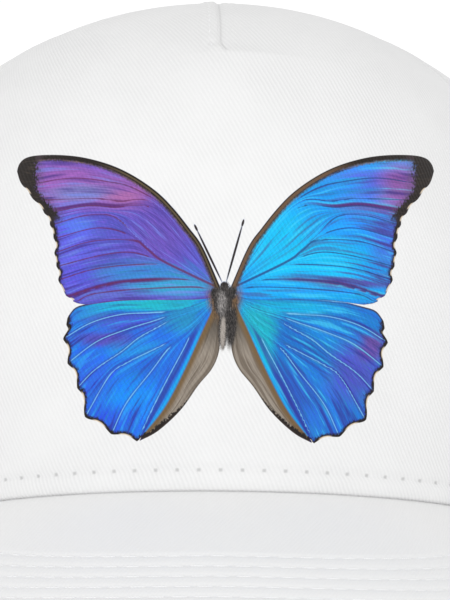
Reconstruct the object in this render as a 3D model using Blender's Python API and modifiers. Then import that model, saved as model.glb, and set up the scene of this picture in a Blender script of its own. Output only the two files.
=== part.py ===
"""A white five-panel cap with a curved visor and a strap with a metal slide at the back.

The cap is modelled upright, in metres: the origin is the middle of the head oval on the
hem plane, -Y is the front and +Z is up. Left and right are the wearer's, so left is +X.
At the end the whole cap is leaned back until the sides of the visor and the back of the
hem stand on z = 0, as it lies on a table.
"""

import math

import bmesh
import bpy
from mathutils import Matrix, Vector

MM = 0.001

# Head oval and crown. Each triple is the value at the front, at the sides and at the back.
HALF_LENGTH = 101.0 * MM
HALF_WIDTH = 86.0 * MM
TOP_HEIGHT = 115.6 * MM
WALL_RISE = (82.2 * MM, 94.9 * MM, 66.0 * MM)
WALL_LEAN = (1.5 * MM, 3.0 * MM, 1.0 * MM)
TOP_REACH = (80.2 * MM, 65.4 * MM, 62.0 * MM)
TOP_SLOPE = 0.3265
SIDE_DROP = 0.0228
FULLER_RIGHT = 0.0453

# Visor, whose top surface falls forward and bends down to both sides.
SEAM_LIFT = 13.0 * MM
VISOR_SLOPE = math.radians(20.0)
VISOR_BEND = 4.2
VISOR_BEND_EASE = 30.0
VISOR_THICK = 2.6 * MM
VISOR_TUCK = 1.0 * MM
VISOR_HALF_WIDTH = 88.0 * MM
VISOR_WIDEST_Y = -88.0 * MM
VISOR_REACH = 78.8 * MM
VISOR_RETURN = 96.0 * MM
VISOR_SQUARENESS = 2.2
VISOR_INNER_END = math.radians(63.0)
VISOR_OUTER_END = math.radians(116.6)
VISOR_EDGE = 0.9 * MM

# Seams between the five panels, as angles round the crown from the front.
FRONT_SEAM = math.radians(62.0)
SIDE_SEAM = math.radians(118.0)
BACK_SEAM = math.radians(180.0)

# Layers, by their depth under the outside of the crown.
CLOTH = 1.2 * MM
TAPE_DEPTH = 1.7 * MM
TAPE_THICK = 0.5 * MM
BAND_DEPTH = 2.6 * MM
BAND_THICK = 1.0 * MM
SEAM_GAP = 0.15 * MM
HEM_GAP = 0.75 * MM
HEM_EASE = 1.0 * MM
HEM_LEVEL_FROM = math.radians(75.0)

TAPE_WIDTH = 14.0 * MM
TAPE_TOP_RADIUS = 17.0 * MM
STIFFENER_TOP = 0.84
BAND_HEIGHT = 32.0 * MM
BAND_END = math.radians(143.0)

# Opening at the back, an arch over the strap.
ARCH_HALF_WIDTH = 45.0 * MM
ARCH_HEIGHT = 48.0 * MM
ARCH_TAPE_WIDTH = 10.0 * MM

# Button on the crown's top, its stud and the washer inside.
BUTTON_RADIUS = 8.0 * MM
BUTTON_HEIGHT = 3.6 * MM
STUD_RADIUS = 1.7 * MM
STUD_HEAD_RADIUS = 4.0 * MM
TOP_HOLE = 2.8 * MM
WASHER_THICK = 0.8 * MM
WASHER_RADIUS = 6.5 * MM
WASHER_GAP = 0.7 * MM
REST_GAP = 0.35 * MM

# Sewn eyelets, by angle and by place between the hem and the button.
EYELET_PLACES = {"side": (math.radians(90.0), 0.56), "back": (math.radians(149.0), 0.60)}
EYELET_RADIUS = 4.4 * MM
EYELET_HOLE = 1.5 * MM
EYELET_BARREL = 2.3 * MM
EYELET_CUT = 2.7 * MM

# Strap and slide. A route's points are the way along the hem from the middle of the back,
# and the offset outwards from the oval, both in millimetres.
STRAP_LOW = 3.0 * MM
STRAP_HIGH = 21.0 * MM
STRAP_THICK = 1.0 * MM
STRAP_TURN = 30.0 * MM
SLIDE_Y = 100.3 * MM
SLIDE_THICK = 1.6 * MM
SLIDE_HALF_WIDTH = 9.5 * MM
SLIDE_HEIGHT = 22.8 * MM
SLIDE_BAR = 2.0 * MM
SLIDE_SLOT_HEIGHT = 19.2 * MM
STRAP_ROUTE = (
    (-54, -3.05), (-46, -3.05), (-41, -3.0), (-35, -2.3), (-27, -1.9), (-12, -1.9), (-6.6, -1.7),
    (-4.2, -0.4), (-2.9, 1.0), (-1.4, 1.65), (0, 1.7), (1.4, 1.6), (2.7, 0.7), (3.5, -0.9), (4.7, -2.6),
    (6.4, -3.3), (9, -3.45), (20, -3.5), (31, -3.8), (38, -4.6), (48, -4.7),
)
TAB_ROUTE = (
    (29, -1.95), (20, -1.95), (9, -1.95), (7.6, -1.75), (6.6, -1.1), (6.2, -0.1), (6.5, 0.9), (7.4, 1.55),
    (9, 1.75), (14, 1.75), (20, 1.6), (26, 0.6), (31, -0.5), (36, -2.0), (41, -3.0), (46, -3.05), (54, -3.05),
)

WHITE_TWILL = ((0.86, 0.87, 0.88), 0.9, 0.0)
WHITE_BUCKRAM = ((0.80, 0.80, 0.77), 0.95, 0.0)
WHITE_TAPE = ((0.84, 0.85, 0.86), 0.85, 0.0)
STEEL = ((0.62, 0.62, 0.63), 0.3, 1.0)


def blend(values, phi):
    """The front, side and back values mixed for the angle phi round the crown."""
    front, side, back = values
    ahead = math.cos(phi)
    weight = ahead * ahead
    return (front if ahead > 0 else back) * weight + side * (1 - weight)


def visor_height(x, y):
    """Height of the visor's top surface over the point (x, y)."""
    forward = -HALF_LENGTH - y
    bend = VISOR_BEND - VISOR_BEND_EASE * forward
    return SEAM_LIFT - math.tan(VISOR_SLOPE) * forward - bend * x * x


def hem_point(phi):
    """The crown's lower edge: level at the sides and the back, lifted over the visor in front."""
    x = HALF_WIDTH * math.sin(phi)
    y = -HALF_LENGTH * math.cos(phi)
    if abs(phi) > HEM_LEVEL_FROM:
        return Vector((x, y, 0.0))
    over_visor = visor_height(x, y) + HEM_GAP
    return Vector((x, y, 0.5 * (over_visor + math.hypot(over_visor, HEM_EASE))))


def top_reach(phi):
    """How far out the top stays flat before it turns down, at the angle phi."""
    return blend(TOP_REACH, phi) * (1 - FULLER_RIGHT * math.sin(phi))


def crown_point(phi, t):
    """A point of the crown's outside, on a Bezier curve from the hem (t = 0) to the button (t = 1)."""
    out = Vector((math.sin(phi), -math.cos(phi), 0.0))
    top = Vector((0.0, 0.0, TOP_HEIGHT))
    hem = hem_point(phi)
    wall = hem + out * blend(WALL_LEAN, phi) + Vector((0.0, 0.0, blend(WALL_RISE, phi)))
    reach = top_reach(phi)
    tilt = TOP_SLOPE * math.cos(phi) - SIDE_DROP * math.sin(phi) ** 2
    shoulder = top + out * reach + Vector((0.0, 0.0, tilt * reach))
    s = 1 - t
    return hem * s ** 3 + wall * (3 * t * s * s) + shoulder * (3 * t * t * s) + top * t ** 3


def crown_normal(phi, t):
    """The outward direction of the crown's surface."""
    step = 1e-4
    round_way = crown_point(phi + step, t) - crown_point(phi - step, t)
    up_way = crown_point(phi, t + step) - crown_point(phi, t - step)
    return round_way.cross(up_way).normalized()


def under_crown(phi, t, depth):
    """A point at a depth under the crown's outside."""
    return crown_point(phi, t) - crown_normal(phi, t) * depth


def cloth_per_radian(phi, t):
    """How much cloth goes round the crown for each radian, at one place."""
    step = 1e-4
    return (crown_point(phi + step, t) - crown_point(phi - step, t)).length / (2 * step)


def top_end(phi, radius):
    """The t at which the crown comes within a radius of the button's axis."""
    return 1 - radius / (3 * top_reach(phi))


def find_height(phi, height):
    """The t at which the crown stands a height above its hem."""
    low, high = 0.0, 0.6
    for _ in range(30):
        t = (low + high) / 2
        if crown_point(phi, t).z - hem_point(phi).z < height:
            low = t
        else:
            high = t
    return low


def find_at_back(x, z):
    """The angle and t at which the back of the crown passes through the given x and height."""
    phi = BACK_SEAM - math.asin(x / HALF_WIDTH)
    for _ in range(20):
        t = find_height(phi, z)
        error = x - crown_point(phi, t).x
        phi -= error / HALF_WIDTH
    return phi, t


def strap_spot(way, offset, height):
    """A point beside the hem's oval at the back: flat across the slide, along the crown's wall at the ends."""
    step = 0.2 * MM
    phi = BACK_SEAM
    gone = 0.0
    while gone < abs(way):
        phi -= step / cloth_per_radian(phi, 0.0)
        gone += step
    phi = math.copysign(phi, way)
    hem = hem_point(phi)
    if hem.y > SLIDE_Y:
        return Vector((way, SLIDE_Y + offset, height))
    out = Vector((hem.x / HALF_WIDTH ** 2, hem.y / HALF_LENGTH ** 2, 0.0)).normalized()
    wall = crown_point(phi, find_height(phi, height)) - hem
    share = min(1.0, (abs(way) - SLIDE_HALF_WIDTH) / STRAP_TURN)
    return hem + out * offset + Vector((wall.x * share, wall.y * share, height))


def add_material(obj, finish):
    """Gives an object its own Principled material."""
    colour, roughness, metallic = finish
    material = bpy.data.materials.new(obj.name)
    material.use_nodes = True
    shader = material.node_tree.nodes["Principled BSDF"]
    shader.inputs["Base Color"].default_value = (*colour, 1.0)
    shader.inputs["Roughness"].default_value = roughness
    shader.inputs["Metallic"].default_value = metallic
    material.diffuse_color = (*colour, 1.0)
    obj.data.materials.append(material)


def add_object(name, shape, parent, finish):
    """Turns a bmesh into a named object that hangs on its parent."""
    mesh = bpy.data.meshes.new(name)
    shape.to_mesh(mesh)
    shape.free()
    mesh.shade_smooth()
    obj = bpy.data.objects.new(name, mesh)
    obj.parent = parent
    bpy.data.collections["baseball_cap"].objects.link(obj)
    add_material(obj, finish)
    return obj


def add_cutter(name, shape, parent):
    """Keeps a cutting shape out of the render, in its own collection."""
    mesh = bpy.data.meshes.new(name)
    shape.to_mesh(mesh)
    shape.free()
    cutter = bpy.data.objects.new(name, mesh)
    cutter.parent = parent
    cutter.hide_render = True
    cutter.display_type = "WIRE"
    bpy.data.collections["cutters"].objects.link(cutter)
    return cutter


def cut(obj, cutter):
    """Takes a cutter's space out of an object."""
    hole = obj.modifiers.new(cutter.name, "BOOLEAN")
    hole.operation = "DIFFERENCE"
    hole.solver = "EXACT"
    hole.object = cutter


def add_sheet(name, parent, finish, columns, rows, place, thickness, offset=-1.0):
    """A curved sheet: place(u, v) gives each point of its outside, and its thickness lies behind that."""
    shape = bmesh.new()
    bmesh.ops.create_grid(shape, x_segments=columns, y_segments=rows, size=0.5)
    for vert in shape.verts:
        vert.co = place(vert.co.x + 0.5, vert.co.y + 0.5)
    obj = add_object(name, shape, parent, finish)
    solid = obj.modifiers.new("thickness", "SOLIDIFY")
    solid.thickness = thickness
    solid.offset = offset
    solid.use_even_offset = True
    return obj


def add_turned(name, parent, finish, profile, steps, seat, closed=False):
    """A turned piece: the profile's (radius, height) points in millimetres, turned round the seat's Z."""
    shape = bmesh.new()
    verts = [shape.verts.new((radius * MM, 0.0, height * MM)) for radius, height in profile]
    for start, end in zip(verts, verts[1:]):
        shape.edges.new((start, end))
    if closed:
        shape.edges.new((verts[-1], verts[0]))
    obj = add_object(name, shape, parent, finish)
    obj.matrix_local = seat
    turn = obj.modifiers.new("turn", "SCREW")
    turn.steps = steps
    turn.render_steps = steps
    turn.use_merge_vertices = True
    turn.merge_threshold = 0.00001
    turn.use_smooth_shade = True
    return obj


def seat_on_crown(phi, t):
    """A frame on the crown's outside whose Z points outwards."""
    spot = crown_point(phi, t)
    return Matrix.Translation(spot) @ crown_normal(phi, t).to_track_quat("Z", "Y").to_matrix().to_4x4()


def seat_on_top():
    """A frame at the crown's top, square to the slope of the cloth there."""
    up = Vector((0.0, TOP_SLOPE, 1.0)).normalized()
    return Matrix.Translation((0.0, 0.0, TOP_HEIGHT)) @ up.to_track_quat("Z", "Y").to_matrix().to_4x4()


def between_seams(start, end, gap, depth, low, high):
    """The place function of a sheet between two seams: high(phi) is the t at which it ends."""
    def place(u, v):
        level = low + (high((start + end) / 2) - low) * v
        first = start + gap / cloth_per_radian(start, level)
        last = end - gap / cloth_per_radian(end, level)
        phi = first + (last - first) * u
        return under_crown(phi, low + (high(phi) - low) * v, depth)
    return place


def build_panels(parent):
    """The seamless front panel, two sides and two backs."""
    panels = {
        "front_panel": (-FRONT_SEAM, FRONT_SEAM, 22, 15),
        "side_panel_left": (FRONT_SEAM, SIDE_SEAM, 10, 14),
        "side_panel_right": (-SIDE_SEAM, -FRONT_SEAM, 10, 14),
        "back_panel_left": (SIDE_SEAM, BACK_SEAM, 11, 14),
        "back_panel_right": (-BACK_SEAM, -SIDE_SEAM, 11, 14),
    }
    made = {}
    for name, (start, end, columns, rows) in panels.items():
        place = between_seams(start, end, SEAM_GAP, 0.0, 0.0, lambda phi: top_end(phi, TOP_HOLE))
        made[name] = add_sheet(name, parent, WHITE_TWILL, columns, rows, place, CLOTH)
    return made


def build_stiffener(parent):
    """The open stiff cloth behind the front panel, between the front seam tapes."""
    side_gap = TAPE_WIDTH / 2 + 4 * SEAM_GAP
    low = find_height(0.0, 1.0 * MM)
    place = between_seams(-FRONT_SEAM, FRONT_SEAM, side_gap, TAPE_DEPTH, low, lambda phi: STIFFENER_TOP)
    return add_sheet("front_stiffener", parent, WHITE_BUCKRAM, 18, 12, place, TAPE_THICK)


def build_seam_tapes(parent):
    """A tape over the inside of each seam. The one at the back starts above the opening."""
    arch_top = find_height(BACK_SEAM, ARCH_HEIGHT + ARCH_TAPE_WIDTH + 1.0 * MM)
    low = find_height(FRONT_SEAM, 1.0 * MM)
    tapes = {
        "seam_tape_front_left": (FRONT_SEAM, low),
        "seam_tape_front_right": (-FRONT_SEAM, low),
        "seam_tape_side_left": (SIDE_SEAM, low),
        "seam_tape_side_right": (-SIDE_SEAM, low),
        "seam_tape_back": (BACK_SEAM, arch_top),
    }
    for name, (seam, start) in tapes.items():
        def place(u, v, seam=seam, start=start):
            t = start + (top_end(seam, TAPE_TOP_RADIUS) - start) * v
            phi = seam + (u - 0.5) * TAPE_WIDTH / cloth_per_radian(seam, t)
            return under_crown(phi, t, TAPE_DEPTH)
        add_sheet(name, parent, WHITE_TAPE, 2, 14, place, TAPE_THICK)


def build_sweatband(parent):
    """The folded band inside the hem, open behind the strap."""
    def place(u, v):
        phi = BAND_END * (2 * u - 1)
        return under_crown(phi, find_height(phi, BAND_HEIGHT * v), BAND_DEPTH)
    return add_sheet("sweatband", parent, WHITE_TWILL, 44, 3, place, BAND_THICK)


def visor_edge(s):
    """The outer edge of the visor in plan, from one corner (s = -1) round the front to the other."""
    theta = VISOR_OUTER_END * s
    ahead = math.cos(theta)
    if ahead > 0:
        power = 2 / VISOR_SQUARENESS
        x = math.copysign(VISOR_HALF_WIDTH * abs(math.sin(theta)) ** power, theta)
        return x, VISOR_WIDEST_Y - VISOR_REACH * ahead ** power
    return VISOR_HALF_WIDTH * math.sin(theta), VISOR_WIDEST_Y - VISOR_RETURN * ahead


def build_visor(parent):
    """The stiff visor, whose inner edge lies just under the front of the hem."""
    def place(u, v):
        s = 2 * u - 1
        phi = VISOR_INNER_END * s
        inner_x = (HALF_WIDTH - VISOR_TUCK) * math.sin(phi)
        inner_y = -(HALF_LENGTH - VISOR_TUCK) * math.cos(phi)
        outer_x, outer_y = visor_edge(s)
        x = outer_x + (inner_x - outer_x) * v
        y = outer_y + (inner_y - outer_y) * v
        return Vector((x, y, visor_height(x, y)))
    visor = add_sheet("visor", parent, WHITE_TWILL, 32, 6, place, VISOR_THICK)
    rounding = visor.modifiers.new("rounded edge", "BEVEL")
    rounding.width = VISOR_EDGE
    rounding.segments = 2
    rounding.limit_method = "ANGLE"
    rounding.angle_limit = math.radians(50.0)
    return visor


def build_button(parent):
    """The covered button with its stud through the crown, and the washer it holds inside."""
    gap = REST_GAP / MM
    cloth = CLOTH / MM
    washer = WASHER_THICK / MM
    radius = BUTTON_RADIUS / MM
    height = BUTTON_HEIGHT / MM
    stud = STUD_RADIUS / MM
    head = STUD_HEAD_RADIUS / MM
    washer_top = -cloth - WASHER_GAP / MM
    head_top = washer_top - washer - gap
    dome = []
    for step in range(8):
        angle = math.radians(90.0 * step / 7)
        dome.append((radius * math.sin(angle), gap + 0.8 + (height - 0.8) * math.cos(angle)))
    underside = [(radius - 0.5, gap), (stud, gap), (stud, head_top), (head, head_top)]
    foot = [(head, head_top - 0.5), (0.0, head_top - 0.8)]
    button = add_turned("button", parent, WHITE_TWILL, dome + underside + foot, 24, seat_on_top())
    rim = WASHER_RADIUS / MM
    bore = stud + 0.5
    ring = [(rim, washer_top), (rim, washer_top - washer), (bore, washer_top - washer), (bore, washer_top)]
    add_turned("button_washer", parent, STEEL, ring, 24, seat_on_top(), closed=True)
    return button


def build_eyelets(parent, panels):
    """A sewn eyelet in each side and back panel, round a hole through the cloth."""
    radius = EYELET_RADIUS / MM
    hole = EYELET_HOLE / MM
    barrel = EYELET_BARREL / MM
    outside = 0.35
    inside = -CLOTH / MM - 0.5
    rim = 0.6
    profile = [
        (barrel, outside + rim), (radius - 0.5, outside + rim * 0.7), (radius, outside), (barrel, outside),
        (barrel, inside), (radius, inside), (radius - 0.5, inside - rim * 0.5), (barrel, inside - rim * 0.6),
        (hole, inside), (hole, outside),
    ]
    for place, (phi, t) in EYELET_PLACES.items():
        for side, sign in (("left", 1), ("right", -1)):
            seat = seat_on_crown(sign * phi, t)
            shape = bmesh.new()
            bmesh.ops.create_cone(shape, cap_ends=True, segments=20, radius1=EYELET_CUT,
                                  radius2=EYELET_CUT, depth=8 * CLOTH, matrix=seat)
            cutter = add_cutter(f"eyelet_cut_{place}_{side}", shape, parent)
            cut(panels[f"{place}_panel_{side}"], cutter)
            add_turned(f"eyelet_{place}_{side}", parent, WHITE_TAPE, profile, 20, seat, closed=True)


def build_back_opening(parent, panels):
    """The arch cut out of both back panels, and the tape that binds its edge inside."""
    shape = bmesh.new()
    bmesh.ops.create_cone(shape, cap_ends=True, segments=56, radius1=1.0, radius2=1.0, depth=1.0)
    size = Matrix.Diagonal((ARCH_HALF_WIDTH, ARCH_HEIGHT, HALF_LENGTH, 1.0))
    turn = Matrix.Rotation(math.radians(90.0), 4, "X")
    bmesh.ops.transform(shape, matrix=Matrix.Translation((0.0, HALF_LENGTH, 0.0)) @ turn @ size, verts=shape.verts)
    cutter = add_cutter("arch_cut", shape, parent)
    for side in ("left", "right"):
        cut(panels[f"back_panel_{side}"], cutter)

    low = math.radians(2.0)

    def place(u, v):
        angle = low + (math.pi - 2 * low) * u
        spread = ARCH_TAPE_WIDTH * v
        x = (ARCH_HALF_WIDTH + spread) * math.cos(angle)
        z = (ARCH_HEIGHT + spread) * math.sin(angle)
        phi, t = find_at_back(x, z)
        return under_crown(phi, t, TAPE_DEPTH)
    return add_sheet("opening_tape", parent, WHITE_TAPE, 28, 2, place, TAPE_THICK)


def smooth_rail(route, height, steps):
    """Points along a smooth curve through a strap's route (Catmull-Rom), at one height."""
    points = [strap_spot(way * MM, offset * MM, height) for way, offset in route]
    ends = [points[0] * 2 - points[1]] + points + [points[-1] * 2 - points[-2]]
    smooth = []
    for before, start, end, after in zip(ends, ends[1:], ends[2:], ends[3:]):
        for step in range(steps):
            t = step / steps
            smooth.append(0.5 * (2 * start + (end - before) * t
                                 + (2 * before - 5 * start + 4 * end - after) * t ** 2
                                 + (3 * start - before - 3 * end + after) * t ** 3))
    smooth.append(points[-1])
    return smooth


def build_strap(parent):
    """The long strap through the slide, the short one sewn round its bar, and the slide itself."""
    for name, route in (("strap_long", STRAP_ROUTE), ("strap_tab", TAB_ROUTE)):
        rails = [smooth_rail(route, height, 2) for height in (STRAP_LOW, STRAP_HIGH)]
        columns = len(rails[0]) - 1

        def place(u, v, rails=rails, columns=columns):
            return rails[round(v)][round(u * columns)]
        add_sheet(name, parent, WHITE_TWILL, columns, 1, place, STRAP_THICK, offset=0.0)

    middle = Vector((0.0, SLIDE_Y, (STRAP_LOW + STRAP_HIGH) / 2))
    shape = bmesh.new()
    bmesh.ops.create_cube(shape, size=1.0)
    bmesh.ops.scale(shape, vec=(2 * SLIDE_HALF_WIDTH, SLIDE_THICK, SLIDE_HEIGHT), verts=shape.verts)
    bmesh.ops.translate(shape, vec=middle, verts=shape.verts)
    slide = add_object("strap_slide", shape, parent, STEEL)
    slot_width = SLIDE_HALF_WIDTH - 1.5 * SLIDE_BAR
    for side, sign in (("left", 1), ("right", -1)):
        shape = bmesh.new()
        bmesh.ops.create_cube(shape, size=1.0)
        bmesh.ops.scale(shape, vec=(slot_width, 3 * SLIDE_THICK, SLIDE_SLOT_HEIGHT), verts=shape.verts)
        shift = Vector((sign * (SLIDE_BAR / 2 + slot_width / 2), 0.0, 0.0))
        bmesh.ops.translate(shape, vec=middle + shift, verts=shape.verts)
        cut(slide, add_cutter(f"slot_cut_{side}", shape, parent))
    rounding = slide.modifiers.new("rounded edge", "BEVEL")
    rounding.width = 0.35 * MM
    rounding.segments = 2
    rounding.limit_method = "ANGLE"
    rounding.angle_limit = math.radians(50.0)
    return slide


def world_points(objects):
    """Every point of the finished shapes, where they stand."""
    depsgraph = bpy.context.evaluated_depsgraph_get()
    for obj in objects:
        finished = obj.evaluated_get(depsgraph)
        mesh = finished.to_mesh()
        for vert in mesh.vertices:
            yield finished.matrix_world @ vert.co
        finished.to_mesh_clear()


def stand_on_floor(rest, visor, pieces):
    """Leans the cap back onto its visor and hem, and puts the middle of its box over the origin."""
    foot = hem_point(BACK_SEAM)
    lean = max(math.atan2(foot.z - spot.z, foot.y - spot.y) for spot in world_points([visor]))
    rest.rotation_euler.x = -lean
    bpy.context.view_layer.update()
    spots = list(world_points(pieces))
    middle_x = (min(s.x for s in spots) + max(s.x for s in spots)) / 2
    middle_y = (min(s.y for s in spots) + max(s.y for s in spots)) / 2
    rest.location = (-middle_x, -middle_y, -min(s.z for s in spots))
    bpy.context.view_layer.update()


def main():
    for obj in list(bpy.data.objects):
        bpy.data.objects.remove(obj)
    for name in ("baseball_cap", "cutters"):
        bpy.context.scene.collection.children.link(bpy.data.collections.new(name))
    rest = bpy.data.objects.new("cap_at_rest", None)
    bpy.data.collections["baseball_cap"].objects.link(rest)

    panels = build_panels(rest)
    build_stiffener(rest)
    build_seam_tapes(rest)
    build_back_opening(rest, panels)
    build_eyelets(rest, panels)
    build_sweatband(rest)
    visor = build_visor(rest)
    build_button(rest)
    build_strap(rest)
    bpy.context.view_layer.update()
    pieces = [obj for obj in bpy.data.collections["baseball_cap"].objects if obj.type == "MESH"]
    stand_on_floor(rest, visor, pieces)


main()
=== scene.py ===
"""The looks of a white five-panel cap with a blue butterfly printed on its front.

Every shape is worked out in millimetres in the cap's own frame, as in the part's source: the
origin is the middle of the head oval on the hem plane, -Y is the front and +Z is up. Left and
right are the wearer's. ``to_world`` leans the cap back onto the table and changes to metres.
"""

import logging
import math
from dataclasses import dataclass
from typing import Callable, Optional, Sequence

import bmesh
import bpy
import numpy as np
from mathutils import Matrix, Vector


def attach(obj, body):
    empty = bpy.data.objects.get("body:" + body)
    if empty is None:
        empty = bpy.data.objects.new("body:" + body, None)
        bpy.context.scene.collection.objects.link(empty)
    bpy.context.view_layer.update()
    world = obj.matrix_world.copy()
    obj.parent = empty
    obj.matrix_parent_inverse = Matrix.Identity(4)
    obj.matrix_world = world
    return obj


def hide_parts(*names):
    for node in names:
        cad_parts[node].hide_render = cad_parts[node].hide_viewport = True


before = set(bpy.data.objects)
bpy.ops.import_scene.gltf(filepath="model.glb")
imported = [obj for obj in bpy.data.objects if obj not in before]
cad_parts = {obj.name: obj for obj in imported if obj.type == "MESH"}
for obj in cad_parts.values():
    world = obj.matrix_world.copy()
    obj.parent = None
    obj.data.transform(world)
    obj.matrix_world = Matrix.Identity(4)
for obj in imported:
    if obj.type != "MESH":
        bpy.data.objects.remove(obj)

LOG = logging.getLogger("cap")

LEAN = math.radians(-5.954115860494674)
REST_SHIFT = np.array((0.0, 31.353, 10.477))
MM = 0.001

REST = Matrix.Translation(REST_SHIFT * MM) @ Matrix.Rotation(LEAN, 4, "X") @ Matrix.Scale(MM, 4)

HEM_PITCH = 5.0

Triple = tuple[float, float, float]
Pair = tuple[float, float]
Array = np.ndarray
Material = bpy.types.Material
Place = Callable[[Array, Array], Array]


def to_world(points: Array) -> Array:
    """Leans points of the cap's frame back onto the table.

    Args:
        points: Points as rows, in millimetres.

    Returns:
        The same points where the CAD has them, in metres.
    """
    x, y, z = points.T
    c, s = math.cos(LEAN), math.sin(LEAN)
    return (np.stack((x, c * y - s * z, s * y + c * z), axis=-1) + REST_SHIFT) * MM


def unit(vectors: Array) -> Array:
    """The same vectors with length one."""
    return vectors / np.maximum(np.linalg.norm(vectors, axis=-1, keepdims=True), 1e-9)


def smooth(low: float, high: float, value: Array) -> Array:
    """Rises smoothly from 0 at low to 1 at high."""
    x = np.clip((value - low) / (high - low), 0, 1)
    return x * x * (3 - 2 * x)


def hump(distance: Array, width: float) -> Array:
    """A rounded hump of height one, a width wide to each side."""
    return np.exp(-(distance / width) ** 2)


@dataclass(frozen=True)
class CrownShape:
    """The outside of the crown, from the same formulas and sizes as its CAD solids."""

    half_length: float = 101.0
    half_width: float = 86.0
    top_height: float = 115.6
    wall_rise: Triple = (82.2, 94.9, 66.0)
    wall_lean: Triple = (1.5, 3.0, 1.0)
    top_reach: Triple = (80.2, 65.4, 62.0)
    top_slope: float = 0.3265
    side_drop: float = 0.0228
    fuller_right: float = 0.0453
    seam_lift: float = 13.0
    visor_slope: float = math.tan(math.radians(20.0))
    visor_bend: float = 4.2e-3
    visor_bend_ease: float = 30e-6
    hem_gap: float = 0.75
    hem_ease: float = 1.0
    hem_level_from: float = math.radians(75.0)
    front_seam: float = math.radians(62.0)
    side_seam: float = math.radians(118.0)
    seam_gap: float = 0.15

    def blend(self, values: Triple, phi: Array) -> Array:
        """The front, side and back values mixed for each angle."""
        ahead = np.cos(phi)
        weight = ahead * ahead
        return np.where(ahead > 0, values[0], values[2]) * weight + values[1] * (1 - weight)

    def visor_height(self, x: Array, y: Array) -> Array:
        """Height of the visor's top surface over each point (x, y)."""
        forward = -self.half_length - y
        bend = self.visor_bend - self.visor_bend_ease * forward
        return self.seam_lift - self.visor_slope * forward - bend * x * x

    def hem(self, phi: Array) -> Array:
        """The crown's lower edge, lifted over the visor in front.

        Args:
            phi: Angles round the crown.

        Returns:
            The edge's points.
        """
        x, y = self.half_width * np.sin(phi), -self.half_length * np.cos(phi)
        over = self.visor_height(x, y) + self.hem_gap
        z = np.where(np.abs(phi) > self.hem_level_from, 0.0, 0.5 * (over + np.hypot(over, self.hem_ease)))
        return np.stack((x, y, z), axis=-1)

    def reach(self, phi: Array) -> Array:
        """How far out the top stays flat before it turns down."""
        return self.blend(self.top_reach, phi) * (1 - self.fuller_right * np.sin(phi))

    def point(self, phi: Array, t: Array) -> Array:
        """Points of the outside, from the hem (t = 0) to the button (t = 1).

        Args:
            phi: Angles round the crown.
            t: Shares of the way up it.

        Returns:
            The points, in millimetres.
        """
        phi, t = np.broadcast_arrays(np.asarray(phi, float), np.asarray(t, float))
        out = np.stack((np.sin(phi), -np.cos(phi), np.zeros_like(phi)), axis=-1)
        up = np.array((0.0, 0.0, 1.0))
        top = up * self.top_height
        hem = self.hem(phi)
        lean, rise = self.blend(self.wall_lean, phi), self.blend(self.wall_rise, phi)
        wall = hem + out * lean[..., None] + up * rise[..., None]
        reach = self.reach(phi)
        tilt = self.top_slope * np.cos(phi) - self.side_drop * np.sin(phi) ** 2
        shoulder = top + out * reach[..., None] + up * (tilt * reach)[..., None]
        t, s = t[..., None], 1 - t[..., None]
        return hem * s ** 3 + wall * 3 * t * s * s + shoulder * 3 * t * t * s + top * t ** 3

    def normal(self, phi: Array, t: Array) -> Array:
        """The outward direction at each place.

        Args:
            phi: Angles round the crown.
            t: Shares of the way up it.

        Returns:
            Vectors of length one.
        """
        step = 1e-4
        round_way = self.point(phi + step, t) - self.point(phi - step, t)
        up_way = self.point(phi, t + step) - self.point(phi, t - step)
        return unit(np.cross(round_way, up_way))

    def under(self, phi: Array, t: Array, depth: float) -> Array:
        """Points at a depth under the outside."""
        return self.point(phi, t) - self.normal(phi, t) * depth

    def cloth_per_radian(self, phi: Array, t: Array) -> Array:
        """How much cloth goes round the crown for each radian."""
        step = 1e-4
        return np.linalg.norm(self.point(phi + step, t) - self.point(phi - step, t), axis=-1) / (2 * step)

    def top_end(self, phi: Array, radius: float) -> Array:
        """The t at which the crown comes within a radius of the button's axis."""
        return 1 - radius / (3 * self.reach(np.asarray(phi, float)))

    def find_height(self, phi: Array, height: Array) -> Array:
        """The t at which the crown stands a height above its hem.

        Args:
            phi: Angles round the crown.
            height: Heights over the hem.

        Returns:
            The values of t.
        """
        phi, height = np.broadcast_arrays(np.asarray(phi, float), np.asarray(height, float))
        low, high = np.zeros_like(height), np.full_like(height, 0.6)
        for _ in range(30):
            t = (low + high) / 2
            short = self.point(phi, t)[..., 2] - self.hem(phi)[..., 2] < height
            low, high = np.where(short, t, low), np.where(short, high, t)
        return low

    def between_seams(self, start: float, end: float, gap: float, depth: float, low: float,
                      high: Callable[[Array], Array]) -> Place:
        """The place function of a sheet between two seams.

        Args:
            start: Angle of the first seam.
            end: Angle of the second seam.
            gap: Room left to each seam, measured along the cloth.
            depth: Depth under the outside.
            low: The t at which the sheet starts.
            high: Gives the t at which it ends, for each angle.

        Returns:
            A function that turns shares along and up the sheet into points.
        """
        def place(u: Array, v: Array) -> Array:
            level = low + (high(np.full_like(v, (start + end) / 2)) - low) * v
            first = start + gap / self.cloth_per_radian(np.full_like(v, start), level)
            last = end - gap / self.cloth_per_radian(np.full_like(v, end), level)
            phi = first + (last - first) * u
            return self.under(phi, low + (high(phi) - low) * v, depth)
        return place


CROWN = CrownShape()


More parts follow.
